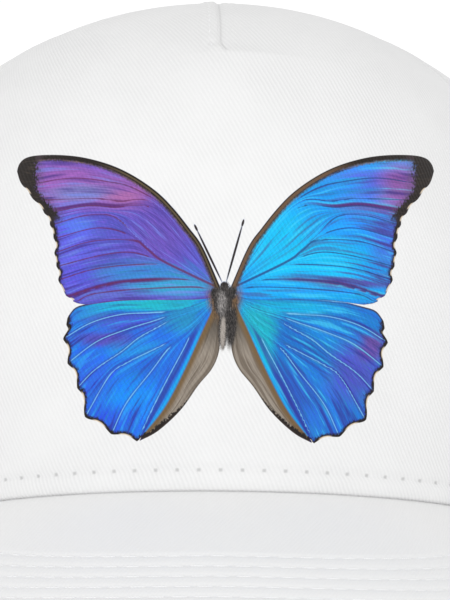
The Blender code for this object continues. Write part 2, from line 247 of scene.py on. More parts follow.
class Sheet:
    """A curved sheet of cloth on a grid, with its own lengths along and up the cloth."""

    def __init__(self, place: Place, along: Array, up: Array) -> None:
        """Lays out the sheet.

        Args:
            place: Turns shares along and up the sheet into points.
            along: The shares along the sheet at which its columns stand.
            up: The shares up the sheet at which its rows stand.
        """
        self.shape = (len(along), len(up))
        u, v = np.meshgrid(along, up, indexing="ij")
        self.base = place(u.ravel(), v.ravel()).reshape(*self.shape, 3)
        across = np.gradient(self.base, axis=0)
        upward = np.gradient(self.base, axis=1)
        self.normal = unit(np.cross(across, upward))
        steps = np.linalg.norm(np.diff(self.base, axis=0), axis=-1)
        run = np.concatenate((np.zeros((1, self.shape[1])), np.cumsum(steps, axis=0)))
        self.from_start = run
        self.from_end = run[-1] - run
        self.along_mm = run - run[-1] / 2
        rises = np.linalg.norm(np.diff(self.base, axis=1), axis=-1)
        self.up_mm = np.concatenate((np.zeros((self.shape[0], 1)), np.cumsum(rises, axis=1)), axis=1)
        self.relief = np.zeros(self.shape)

    def points(self) -> Array:
        """The sheet's points with its relief."""
        return self.base + self.normal * self.relief[..., None]

    def line_up(self, points: Array, wanted: float, skip: int = 0,
                room: float = 0.0) -> tuple[Array, Array]:
        """Follows the line that lies at one height up the cloth.

        Args:
            points: The points of the face that the line lies on.
            wanted: The height.
            skip: How many columns are left out at each end.
            room: How much cloth a column must have beyond that height.

        Returns:
            The spots of the line and the cloth's direction at each, from column to column.
        """
        columns = range(skip, self.shape[0] - skip)
        kept = [column for column in columns if self.up_mm[column, -1] >= wanted + room]
        spots, normals = (np.array([reading(wanted, self.up_mm[column], values[column]) for column in kept])
                          for values in (points, self.normal))
        return spots, normals

    def make(self, name: str, thickness: float, offset: float = -1.0,
             extra: Optional[dict[str, Array]] = None) -> bpy.types.Object:
        """Makes the sheet's object.

        Args:
            name: Name of the object.
            thickness: Thickness of the cloth.
            offset: Where the thickness lies, as Solidify has it.
            extra: Further values for each point, kept as attributes of that name.

        Returns:
            The object, with a UV map in millimetres of cloth.
        """
        shape = bmesh.new()
        bmesh.ops.create_grid(shape, x_segments=self.shape[0] - 1, y_segments=self.shape[1] - 1, size=0.5)
        spots = np.array([vert.co[:2] for vert in shape.verts]) + 0.5
        column = np.rint(spots[:, 0] * (self.shape[0] - 1)).astype(int)
        row = np.rint(spots[:, 1] * (self.shape[1] - 1)).astype(int)
        placed = to_world(self.points()[column, row])
        for vert, spot in zip(shape.verts, placed):
            vert.co = spot
        obj = finish_object(name, shape)
        mesh = obj.data
        corner = np.empty(len(mesh.loops), int)
        mesh.loops.foreach_get("vertex_index", corner)
        cloth = np.stack((self.along_mm[column, row], self.up_mm[column, row]), axis=-1)
        mesh.uv_layers.new(name="cloth").data.foreach_set("uv", cloth[corner].astype(np.float32).ravel())
        for key, values in (extra or {}).items():
            attribute = mesh.attributes.new(key, "FLOAT_VECTOR", "POINT")
            attribute.data.foreach_set("vector", values[column, row].astype(np.float32).ravel())
        solid = obj.modifiers.new("thickness", "SOLIDIFY")
        solid.thickness = thickness * MM
        solid.offset = offset
        solid.use_even_offset = True
        return obj


def finish_object(name: str, shape: bmesh.types.BMesh) -> bpy.types.Object:
    """Turns a bmesh into a smooth-shaded object at the origin.

    Args:
        name: Its name.
        shape: Its shape, which is freed.

    Returns:
        The object, in the scene.
    """
    mesh = bpy.data.meshes.new(name)
    shape.to_mesh(mesh)
    shape.free()
    mesh.shade_smooth()
    obj = bpy.data.objects.new(name, mesh)
    bpy.context.scene.collection.objects.link(obj)
    return obj


def spline(points: Sequence[Sequence[float]], steps: int) -> Array:
    """Points along a smooth curve through the given ones (Catmull-Rom).

    Args:
        points: The given points.
        steps: Steps from each of them to the next.

    Returns:
        The points as rows.
    """
    given = np.array(points, float)
    ends = np.concatenate(([given[0] * 2 - given[1]], given, [given[-1] * 2 - given[-2]]))
    t = np.linspace(0, 1, steps, endpoint=False)[:, None]
    runs = []
    for a, b, c, d in zip(ends, ends[1:], ends[2:], ends[3:]):
        square, cube = 2 * a - 5 * b + 4 * c - d, 3 * b - a - 3 * c + d
        runs.append(0.5 * (2 * b + (c - a) * t + square * t ** 2 + cube * t ** 3))
    return np.concatenate(runs + [given[-1:]])


def reading(wanted: object, scale: Array, vectors: Array) -> Array:
    """The vectors at the wanted readings of a rising scale."""
    return np.stack([np.interp(wanted, scale, vectors[:, k]) for k in range(3)], axis=-1)


def stops(*runs: tuple[float, float, int]) -> Array:
    """Shares from 0 to 1 in runs of their own density.

    Args:
        runs: Start, end and number of steps of each run, in any unit.

    Returns:
        The stops, scaled to run from 0 to 1.
    """
    values = np.concatenate([np.linspace(a, b, n, endpoint=False) for a, b, n in runs] + [[runs[-1][1]]])
    return (values - values[0]) / (values[-1] - values[0])


def dress(obj: bpy.types.Object, slot: str, material: Material, *nodes: str) -> bpy.types.Object:
    """Gives a piece its finish and its body, and hides the CAD nodes it stands for.

    Args:
        obj: The piece.
        slot: The record's material slot; not used.
        material: Its finish.
        nodes: The CAD nodes.

    Returns:
        The piece.
    """
    obj.data.materials.clear()
    obj.data.materials.append(material)
    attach(obj, "root")
    if nodes:
        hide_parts(*nodes)
    LOG.info("%s: %d faces", obj.name, len(obj.data.polygons))
    return obj


@dataclass(frozen=True)
class Camera:
    """The photograph's camera, given in the cap's frame."""

    aim: Triple = (0.7, -101.0, 62.0)
    elevation: float = math.radians(5.0)
    distance: float = 1000.0
    lower: float = 5.1
    roll: float = 0.0074
    lens: float = 264.0

    def axes(self) -> tuple[Array, Array, Array, Array]:
        """The camera's place and its right, up and backward directions, in the cap's frame.

        Returns:
            The place and three vectors of length one.
        """
        back = np.array((0.0, -math.cos(self.elevation), math.sin(self.elevation)))
        up = np.array((0.0, math.sin(self.elevation), math.cos(self.elevation)))
        right = np.array((1.0, 0.0, 0.0))
        place = np.array(self.aim) - up * self.lower + back * self.distance
        c, s = math.cos(self.roll), math.sin(self.roll)
        return place, right * c + up * s, up * c - right * s, back

    def picture(self, points: Array) -> Array:
        """Where points fall in the photograph, in millimetres from its middle at the front's distance.

        Args:
            points: Points of the cap's frame.

        Returns:
            The ways across and up.
        """
        place, right, up, back = self.axes()
        ray = points - place
        depth = -(ray @ back)
        return np.stack((ray @ right, ray @ up), axis=-1) * (self.distance / depth)[..., None]

    def build(self) -> None:
        """Adds the camera."""
        place, right, up, back = self.axes()
        ends = to_world(np.array((place, place + right, place + up, place + back)))
        turn = Matrix([unit(end - ends[0]) for end in ends[1:]]).transposed()
        data = bpy.data.cameras.new("camera")
        data.lens = self.lens
        data.sensor_width = 36.0
        data.clip_start, data.clip_end = 0.05, 20.0
        camera = bpy.data.objects.new("camera", data)
        camera.matrix_world = Matrix.Translation(ends[0]) @ turn.to_4x4()
        bpy.context.scene.collection.objects.link(camera)
        bpy.context.scene.camera = camera


CAMERA = Camera()


class Field:
    """A value that a material works out for each point, with the signs of arithmetic."""

    def __init__(self, nodes: "Nodes", socket: bpy.types.NodeSocket) -> None:
        """Notes the material under way and the socket that gives the value."""
        self.nodes = nodes
        self.socket = socket

    def __add__(self, other: object) -> "Field":
        """The sum."""
        return self.nodes.math("ADD", self, other)

    def __sub__(self, other: object) -> "Field":
        """The difference."""
        return self.nodes.math("SUBTRACT", self, other)

    def __mul__(self, other: object) -> "Field":
        """The product."""
        return self.nodes.math("MULTIPLY", self, other)

    def __abs__(self) -> "Field":
        """The value without its sign."""
        return self.nodes.math("ABSOLUTE", self)

    def sine(self) -> "Field":
        """The sine of the value in radians."""
        return self.nodes.math("SINE", self)

    def ease(self, low: float, high: float, start: float = 0.0, end: float = 1.0) -> "Field":
        """Goes smoothly from start to end as the value goes from low to high."""
        values = (self, low, high, start, end)
        return self.nodes.add("MapRange", values, interpolation_type="SMOOTHSTEP")


class Nodes:
    """Short ways to write a material's nodes."""

    def __init__(self, name: str) -> None:
        """Starts an empty Principled material.

        Args:
            name: Its name.
        """
        self.material = bpy.data.materials.new(name)
        self.material.use_nodes = True
        self.tree = self.material.node_tree
        self.shader = self.tree.nodes["Principled BSDF"]

    def add(self, kind: str, inputs: object = (), output: object = 0, **settings: object) -> Field:
        """Adds a node.

        Args:
            kind: The node's kind, without its prefix.
            inputs: Its inputs in order, or by name or number.
            output: The name or number of the output that is wanted.
            settings: The node's own settings.

        Returns:
            What the output gives.
        """
        node = self.tree.nodes.new("ShaderNode" + kind)
        for key, value in settings.items():
            setattr(node, key, value)
        for key, value in inputs.items() if isinstance(inputs, dict) else enumerate(inputs):
            self.feed(node.inputs[key], value)
        return Field(self, node.outputs[output])

    def feed(self, socket: bpy.types.NodeSocket, value: object) -> None:
        """Links a field into a socket, or sets the socket to a plain value.

        Args:
            socket: The input.
            value: What goes into it.
        """
        if isinstance(value, Field):
            self.tree.links.new(value.socket, socket)
        else:
            socket.default_value = value

    def math(self, operation: str, *values: object, clamp: bool = False) -> Field:
        """One Math node."""
        return self.add("Math", values, operation=operation, use_clamp=clamp)

    def mix(self, share: object, first: object, second: object) -> Field:
        """Mixes two colours."""
        pair = [(*ink, 1.0) if isinstance(ink, tuple) else ink for ink in (first, second)]
        return self.add("Mix", {0: share, 6: pair[0], 7: pair[1]}, 2, data_type="RGBA")

    def layer(self, colour: object, *layers: tuple[Field, object]) -> Field:
        """Lays inks over a colour in turn, each where its own share says."""
        for share, ink in layers:
            colour = self.mix(share, colour, ink)
        return colour

    def uv(self) -> Field:
        """The piece's own UV map, in millimetres."""
        return self.add("UVMap", uv_map="cloth")

    def spot(self) -> Field:
        """The place in the cap, in metres."""
        return self.add("TexCoord", output="Object")

    def attribute(self, name: str) -> Field:
        """A vector that each point of the piece carries."""
        return self.add("Attribute", output="Vector", attribute_name=name)

    def split(self, vector: Field) -> list[Field]:
        """The X, Y and Z of a vector."""
        node = self.add("SeparateXYZ", (vector,)).socket.node
        return [Field(self, socket) for socket in node.outputs]

    def join(self, x: object, y: object, z: object = 0.0) -> Field:
        """The vector of an X, Y and Z."""
        return self.add("CombineXYZ", (x, y, z))

    def noise(self, vector: Field, scale: float, detail: float = 2.0, rough: float = 0.5) -> Field:
        """Noise from 0 to 1."""
        return self.add("TexNoise", {"Vector": vector, "Scale": scale, "Detail": detail, "Roughness": rough})

    def moved(self, vector: Field, scale: Triple = (1.0, 1.0, 1.0), shift: Triple = (0.0, 0.0, 0.0),
              turn: float = 0.0) -> Field:
        """A vector stretched, turned about Z and shifted, in that order."""
        return self.add("Mapping", (vector, shift, (0.0, 0.0, turn), scale))

    def shifted(self, vector: Field, x: object, y: object) -> Field:
        """A vector with its X and Y pushed."""
        return self.add("VectorMath", (vector, self.join(x, y)), operation="ADD")

    def length(self, vector: Field) -> Field:
        """The length of a vector."""
        return self.add("VectorMath", (vector,), "Value", operation="LENGTH")

    def tint(self, colour: Field, hue: object, value: object) -> Field:
        """A colour with its hue and value changed; 0.5 keeps the hue."""
        return self.add("HueSaturation", {"Hue": hue, "Value": value, "Color": colour})

    def bump(self, height: Field, millimetres: float) -> None:
        """Sets the shader's normal from a height field whose full range is this many millimetres."""
        self.set(Normal=self.add("Bump", {"Strength": 1.0, "Distance": millimetres * MM, "Height": height}))

    def set(self, **values: object) -> None:
        """Sets the shader's plain sockets, by their names with _ for spaces."""
        for key, value in values.items():
            self.feed(self.shader.inputs[key.replace("_", " ")], value)


def dim(colour: Triple, share: float) -> Triple:
    """A darker shade of a colour."""
    return tuple(value * share for value in colour)


@dataclass(frozen=True)
class Twill:
    """White cotton twill, whose steep lines rise to the left."""

    name: str = "crown_twill"
    colour: Triple = (0.745, 0.745, 0.745)
    line_pitch: float = 0.95
    lean: Triple = (0.891, 0.454, 0.0)
    yarn_pitch: float = 0.267
    weft_pitch: float = 0.52
    depth: float = 0.06
    # How much darker the weave's grooves are painted: painted shade.
    shade: float = 0.2
    hem_stitch: float = 0.0

    def weave(self, nodes: Nodes) -> tuple[Field, Field]:
        """Adds the weave's nodes.

        Args:
            nodes: The material under way.

        Returns:
            The height of the cloth from 0 to 1, and its white, with painted shade in the weave's grooves and
            at the hem's needle holes.
        """
        cloth = nodes.uv()
        x, y, _ = nodes.split(cloth)
        wander = (nodes.noise(cloth, 0.35, 3.0) - 0.5) * 2.6
        run = x * self.lean[0] + y * self.lean[1]
        line = (run * (math.tau / self.line_pitch) + wander).sine() * 0.5 + 0.5
        yarn, cross = (x * (math.tau / self.yarn_pitch)).sine(), (y * (math.tau / self.weft_pitch)).sine()
        fine = yarn * cross * 0.5 + 0.5
        slub = nodes.noise(cloth, 2.2, 4.0, 0.7)
        height = line * 0.62 + fine * 0.16 + slub * 0.3
        # The weave's low parts are painted darker: painted shade in its grooves, stronger in random patches.
        patchy = nodes.noise(cloth, 0.06).ease(0.3, 0.7, 0.5, 1.0) * self.shade
        grey = nodes.math("SUBTRACT", 1.0, height, clamp=True) * patchy
        white = nodes.mix(grey, self.colour, dim(self.colour, 0.45))
        # Dark dots at the hem row's needle holes: painted shade in the holes.
        if self.hem_stitch:
            beside = abs((x * (math.pi / HEM_PITCH)).sine()).ease(0.1, 0.42, 0.5, 0.0)
            hole = beside * abs(y - self.hem_stitch).ease(0.1, 0.65, 1.0, 0.0)
            white = nodes.mix(hole, white, dim(self.colour, 0.4))
        return height, white

    def material(self) -> Material:
        """Makes the material.

        Returns:
            The material.
        """
        nodes = Nodes(self.name)
        height, white = self.weave(nodes)
        nodes.set(Base_Color=white, Roughness=0.85, Sheen_Weight=0.15, Specular_IOR_Level=0.2)
        nodes.bump(height, self.depth)
        return nodes.material


STUDIO_GAIN = 1.2


def seen(red: int, green: int, blue: int) -> Triple:
    """An ink's own colour, from its look in the studio's light as red, green and blue up to 255."""
    shares = (red / 255, green / 255, blue / 255)
    linear = [share / 12.92 if share <= 0.04 else ((share + 0.055) / 1.055) ** 2.4 for share in shares]
    return tuple(value / STUDIO_GAIN for value in linear)


@dataclass(frozen=True)
class Glow:
    """A soft pool of ink: its place and reach in millimetres from the body's middle, and its colour."""

    x: float
    y: float
    wide: float
    high: float
    look: tuple[int, int, int]
    strength: float = 0.9


@dataclass(frozen=True)
class Wing:
    """One wing of the print, as (out, up) points in millimetres from the body's middle.

    ``lead`` runs from the body to the tip, ``margin`` from the tip round to the rear, and ``trail``
    from the body to the margin's end. The veins run from the body to the margin, in order from
    the leading edge, and ``trunk`` is the number of the one that others branch from. ``widths``
    gives how wide the cloth of scales between two of them is. ``scallop`` is how deep the outer
    edge is cut between veins, and ``calm`` between which veins that grows or fades. The front
    wings are ``leading``, and ``lean_right`` is how much the right wing drops for its reach.
    """

    name: str
    base: Pair
    lead: tuple[Pair, ...]
    margin: tuple[Pair, ...]
    trail: tuple[Pair, ...]
    veins: tuple[tuple[Pair, ...], ...]
    widths: tuple[float, ...]
    scallop: float
    trunk: int
    calm: tuple[tuple[float, float, float, float], ...]
    leading: bool = False
    lean_right: float = 0.0

    def fields(self, x: Array, y: Array) -> dict[str, Array]:
        """Works out what the ink needs to know at points of the artwork.

        Args:
            x: Distance to the right of the body's middle.
            y: Height over the body's middle.

        Returns:
            The vein coordinate, the way past the trunk vein and the depth inside the outline;
            the depths behind the margin and the leading or inner edge and the room between veins;
            and the way across the veins, the way along them and how close the nearest veins run.
        """
        drop = np.where(x > 0, self.lean_right, 0.0)
        spots = np.stack((np.abs(x), y + drop * np.abs(x)), axis=-1)
        way = spots - np.array(self.base)
        rho = np.maximum(np.linalg.norm(way, axis=-1), 1e-3)
        theta = np.arctan2(way[..., 1], way[..., 0])
        rays = self.rays(rho)
        theta = np.where(theta > rays[0] + math.pi, theta - math.tau, theta)
        vein, across, room, crowd = self.cells(theta, rho, rays)
        inside, outer, edge = self.depths(spots, theta, rho, rays)
        past = rho * (rays[self.trunk] - theta)
        return {self.name: np.stack((vein, past, inside), axis=-1),
                f"{self.name}_edges": np.stack((outer, edge, room), axis=-1),
                f"{self.name}_flow": np.stack((across, rho, crowd), axis=-1)}

    def rays(self, rho: Array) -> list[Array]:
        """The angle of the leading edge, of each vein and of the rear edge, by distance from the base.

        Args:
            rho: Distances from the base.

        Returns:
            The angles of each line, in order.
        """
        rays = []
        for line in (self.lead, *self.veins, self.trail):
            path = spline((self.base, *line), 8)[1:] - np.array(self.base)
            length = np.linalg.norm(path, axis=1)
            order = np.argsort(length)
            angle = np.unwrap(np.arctan2(path[:, 1], path[:, 0]))
            rays.append(np.interp(rho, length[order], angle[order]))
        for before in range(len(rays) - 1):
            rays[before + 1] = np.minimum(rays[before + 1], rays[before] - 0.004)
        return rays

    def cells(self, theta: Array, rho: Array, rays: list[Array]) -> tuple[Array, ...]:
        """Places each point among the veins.

        Args:
            theta: The points' angles at the base.
            rho: Their distances from it.
            rays: The angles of the edges and veins at those distances.

        Returns:
            The vein coordinate, the way across the veins, the room between the two veins beside
            the point, and how close the nearest veins run.
        """
        vein, across = np.zeros_like(rho), np.zeros_like(rho)
        room, crowd = np.ones_like(rho), np.ones_like(rho)
        gaps = [rho * (first - second) for first, second in zip(rays, rays[1:])]
        tight = [np.minimum(*pair) for pair in zip((gaps[0], *gaps), (*gaps, gaps[-1]))]
        for cell, (first, second, width) in enumerate(zip(rays, rays[1:], self.widths)):
            share = (first - theta) / (first - second)
            vein += np.clip(share, 0, 1)
            across += width * np.clip(share, 0, 1)
            here = (share >= 0) & (share < 1)
            room = np.where(here, gaps[cell], room)
            crowd = np.where(here, tight[cell] * (1 - share) + tight[cell + 1] * share, crowd)
        return vein, across, room, crowd

    def depths(self, spots: Array, theta: Array, rho: Array,
               rays: list[Array]) -> tuple[Array, Array, Array]:
        """Measures how deep each point lies in the wing.

        Args:
            spots: The points, as (out, up).
            theta: Their angles at the base.
            rho: Their distances from it.
            rays: The angles of the edges and veins at those distances.

        Returns:
            The depths inside the outline, behind the margin and behind the leading or inner edge.
        """
        lead, margin = spline((self.base, *self.lead), 8), spline((self.lead[-1], *self.margin), 8)
        trail = spline((self.base, *self.trail), 8)
        outline = np.concatenate((lead, margin[1:], trail[::-1][1:]))
        inside = nearest(spots, outline) * np.where(within(spots, outline), 1.0, -1.0)
        way = margin - np.array(self.base)
        angle = np.unwrap(np.arctan2(way[:, 1], way[:, 0]))
        order = np.argsort(angle)
        limit = np.interp(theta, angle[order], np.linalg.norm(way, axis=1)[order], left=1e3, right=1e3)
        outer = nearest(spots, margin) * np.where(rho < limit, 1.0, -1.0)
        line, behind = (lead, theta < rays[0]) if self.leading else (trail, theta > rays[-1])
        return inside, outer, nearest(spots, line) * np.where(behind, 1.0, -1.0)


def nearest(spots: Array, line: Array) -> Array:
    """The distance from each spot to a line of points.

    Args:
        spots: The spots.
        line: The line's points.

    Returns:
        The distances.
    """
    best = np.full(spots.shape[:-1], 1e9)
    for a, b in zip(line, line[1:]):
        step = b - a
        share = np.clip(((spots - a) @ step) / max(float(step @ step), 1e-12), 0, 1)
        best = np.minimum(best, np.linalg.norm(spots - a - share[..., None] * step, axis=-1))
    return best


def within(spots: Array, outline: Array) -> Array:
    """Whether each spot lies inside a closed outline.

    Args:
        spots: The spots.
        outline: The outline's points.

    Returns:
        True for the spots inside.
    """
    odd = np.zeros(spots.shape[:-1], bool)
    x, y = spots[..., 0], spots[..., 1]
    for a, b in zip(outline, np.roll(outline, -1, axis=0)):
        if a[1] == b[1]:
            continue
        crosses = ((a[1] > y) != (b[1] > y)) & (x < a[0] + (y - a[1]) / (b[1] - a[1]) * (b[0] - a[0]))
        odd ^= crosses
    return odd


FOREWING = Wing(
    name="forewing", base=(1.0, 2.5), scallop=0.35, trunk=6, leading=True,
    lead=((5.1, 11.9), (8.2, 16.3), (11.8, 20.8), (15.5, 24.5), (20.5, 28.0), (25.6, 30.5), (31.4, 32.2),
          (36.7, 32.9), (42.2, 32.9), (45.3, 32.3), (46.8, 31.0), (47.4, 29.3)),
    margin=((46.6, 26.8), (44.9, 24.3), (42.6, 21.6), (40.4, 18.5), (39.5, 15.5), (38.8, 12.8), (38.9, 9.6),
            (38.1, 6.5), (37.9, 3.9), (36.6, 1.4), (34.3, -0.5), (31.5, -1.1)),
    trail=((4.5, 0.3), (16.7, 0.0), (24.0, -0.2), (31.5, -1.1)),
    veins=(
        ((8.1, 14.4), (14.9, 21.6), (21.0, 25.5), (26.7, 26.9), (35.1, 27.7), (45.6, 26.0)),
        ((11.5, 17.4), (17.6, 22.6), (24.0, 22.4), (30.1, 23.0), (43.2, 22.6)),
        ((11.5, 16.6), (17.6, 21.4), (25.1, 21.1), (31.5, 21.4), (41.0, 19.6)),
        ((8.0, 6.0), (15.5, 10.0), (20.5, 14.3), (25.5, 19.0), (32.0, 19.2), (39.7, 17.0)),
        ((8.0, 5.9), (15.3, 9.8), (20.3, 14.1), (28.5, 16.4), (38.8, 14.0)),
        ((8.0, 5.8), (15.3, 9.5), (20.1, 13.4), (30.1, 13.4), (38.9, 10.7)),
        ((8.0, 5.7), (14.0, 8.6), (21.0, 10.8), (28.0, 10.2), (38.3, 7.6)),
        ((8.0, 5.6), (13.0, 8.0), (21.7, 8.0), (30.1, 7.0), (37.9, 4.6)),
        ((8.0, 4.6), (21.5, 4.3), (28.8, 3.0), (35.6, 0.8)),
        ((8.0, 3.0), (20.1, 2.5), (30.1, 1.4), (33.8, -0.4)),
    ),
    widths=(3.5, 3.5, 1.5, 9.0, 2.0, 3.0, 3.0, 3.5, 3.5, 2.0, 2.2),
    calm=((0.9, 1.3, 0.0, 1.0), (9.9, 10.3, 1.0, 0.0)),
)

HINDWING = Wing(
    name="hindwing", base=(1.2, 1.2), scallop=0.95, trunk=7, lean_right=0.022,
    lead=((8.0, 0.8), (16.7, 0.6), (26.0, 0.2), (31.5, -0.9), (34.2, -1.8), (35.9, -3.9)),
    margin=((36.3, -6.2), (36.9, -8.8), (36.5, -11.8), (35.9, -14.4), (34.8, -17.2), (33.7, -20.0),
            (33.0, -23.2), (31.9, -26.6), (29.2, -28.6), (25.9, -30.5), (22.9, -31.6), (19.9, -32.2)),
    trail=((1.2, -8.0), (1.6, -12.2), (3.2, -15.8), (6.2, -19.4), (10.2, -25.0), (15.4, -29.8),
           (19.9, -32.2)),
    veins=(
        ((10.3, -2.4), (16.6, -2.9), (23.8, -3.3), (30.6, -5.2), (36.9, -8.8)),
        ((6.0, -1.6), (12.0, -3.2), (15.8, -4.6), (22.5, -6.7), (29.2, -9.4), (35.9, -14.4)),
        ((6.0, -1.9), (12.0, -4.2), (15.4, -6.1), (19.8, -8.6), (23.8, -11.9), (29.7, -15.9), (33.7, -20.0)),
        ((4.4, -2.6), (7.7, -6.2), (12.8, -9.6), (17.2, -11.7), (22.4, -14.2), (26.3, -17.0), (31.9, -26.6)),
        ((4.3, -2.8), (7.7, -6.6), (12.6, -10.6), (16.8, -16.1), (22.5, -23.4), (25.9, -30.5)),
        ((4.2, -3.0), (7.5, -7.0), (9.4, -10.9), (13.2, -18.0), (16.8, -25.2), (19.9, -32.2)),
        ((3.0, -2.8), (5.1, -7.3), (8.5, -14.8), (12.0, -21.8), (14.7, -26.1), (18.9, -31.2)),
    ),
    widths=(4.0, 3.5, 4.0, 5.0, 4.0, 5.0, 2.6, 5.0),
    calm=((0.35, 0.8, 0.0, 1.0), (6.5, 6.75, 1.0, 0.0)),
)


@dataclass(frozen=True)
class WingInk:
    """The inks of one pair of wings: their ground, left and right, streaks, veins and soft pools."""

    ground: tuple[Triple, Triple]
    dark: Triple
    bright: Triple
    veins: Triple
    glows: tuple[Glow, ...]


FORE_INK = WingInk(
    ground=(seen(86, 84, 196), seen(14, 156, 240)), dark=seen(66, 40, 132), bright=seen(116, 140, 236),
    veins=seen(100, 34, 84),
    glows=(
        Glow(-36, 26, 14, 8, (158, 96, 184)), Glow(-22, 25, 12, 6, (156, 96, 172), 0.8),
        Glow(-33, 24.5, 10, 2.6, (118, 128, 196), 0.8), Glow(-23, 23.5, 6, 1.8, (184, 108, 156), 0.5),
        Glow(-15, 15, 10, 10, (104, 80, 182), 0.9), Glow(-35, 14, 8, 8, (92, 96, 226), 0.8),
        Glow(-34, 17, 5, 2.5, (84, 128, 244), 0.7), Glow(-18, 6, 16, 3.2, (48, 140, 214), 0.9),
        Glow(-12, 3.2, 14, 2.4, (44, 164, 206), 0.9), Glow(-34, 5, 5, 5, (84, 84, 222), 0.8),
        Glow(-26, 1.3, 14, 1.2, (96, 112, 204), 0.7), Glow(12, 12, 12, 12, (0, 200, 252)),
        Glow(24, 9, 10, 7, (0, 196, 250), 0.9), Glow(33, 27, 12, 5, (92, 96, 228), 0.8),
        Glow(40, 26, 7, 8, (148, 84, 164), 0.9), Glow(27, 26, 6, 2.4, (16, 166, 250), 0.8),
        Glow(34, 21, 10, 2.2, (116, 66, 150), 0.75), Glow(30, 17, 7, 5, (20, 150, 244), 0.8),
        Glow(37, 14, 5, 8, (70, 92, 214), 0.7), Glow(30, 4.0, 12, 1.6, (84, 46, 140), 0.8),
        Glow(22, 1.0, 18, 1.4, (0, 166, 228), 0.9),
    ),
)

HIND_INK = WingInk(
    ground=(seen(24, 112, 226), seen(16, 118, 206)), dark=seen(40, 44, 150), bright=seen(40, 170, 248),
    veins=seen(130, 206, 246),
    glows=(
        Glow(-17, -0.9, 20, 2.4, (12, 188, 198)), Glow(-30, -3.5, 6, 3, (40, 150, 204), 0.7),
        Glow(-22, -5.0, 13, 2.0, (66, 88, 204), 0.9), Glow(-27, -8.6, 9, 2.2, (86, 62, 170), 0.8),
        Glow(-10, -4.4, 7, 4, (26, 146, 196), 0.9), Glow(-20, -11, 9, 3, (20, 146, 222), 0.7),
        Glow(-22, -22, 10, 6, (0, 146, 252), 0.8), Glow(-30, -18, 6, 8, (40, 96, 226), 0.7),
        Glow(-26, -27, 8, 4, (36, 84, 222), 0.7), Glow(13, -2.2, 18, 3.0, (0, 182, 232), 0.9),
        Glow(7, -6, 6, 6, (8, 184, 200), 0.9), Glow(8.5, -12, 3.5, 8, (0, 190, 208), 0.8),
        Glow(26, -7, 12, 4, (10, 136, 222), 0.7), Glow(30, -16, 8, 9, (82, 72, 190), 0.75),
        Glow(33, -11, 4, 3, (112, 60, 146), 0.7), Glow(16, -22, 8, 9, (40, 92, 196), 0.7),
        Glow(23, -27, 8, 5, (36, 116, 222), 0.7),
    ),
)


class WingMap:
    """What the ink of one pair of wings reads at each point of the cloth."""

    def __init__(self, nodes: Nodes, wing: Wing, art: Field) -> None:
        """Reads the wing's attributes and lays the noise that follows its veins.

        Args:
            nodes: The material under way.
            wing: The wing's drawing.
            art: The place in the artwork.
        """
        self.vein, self.past, self.inside = nodes.split(nodes.attribute(wing.name))
        self.outer, self.edge, self.room = nodes.split(nodes.attribute(f"{wing.name}_edges"))
        across, self.along, crowd = nodes.split(nodes.attribute(f"{wing.name}_flow"))
        self.sideways, self.up, _ = nodes.split(art)
        self.right = self.sideways.ease(-0.3, 0.3)
        streaked = nodes.join(across, self.along * 0.055, self.right * 9.0)
        self.broad = nodes.noise(streaked, 0.5)
        self.middling = nodes.noise(streaked, 1.25, 3.0, 0.55)
        self.fine = nodes.noise(streaked, 4.5, 3.0, 0.7)
        self.rough = nodes.noise(art, 1.6, 3.0) - 0.5
        self.near = nodes.math("PINGPONG", self.vein, 0.5) * self.room + crowd.ease(0.5, 1.3, 0.4, 0.0)


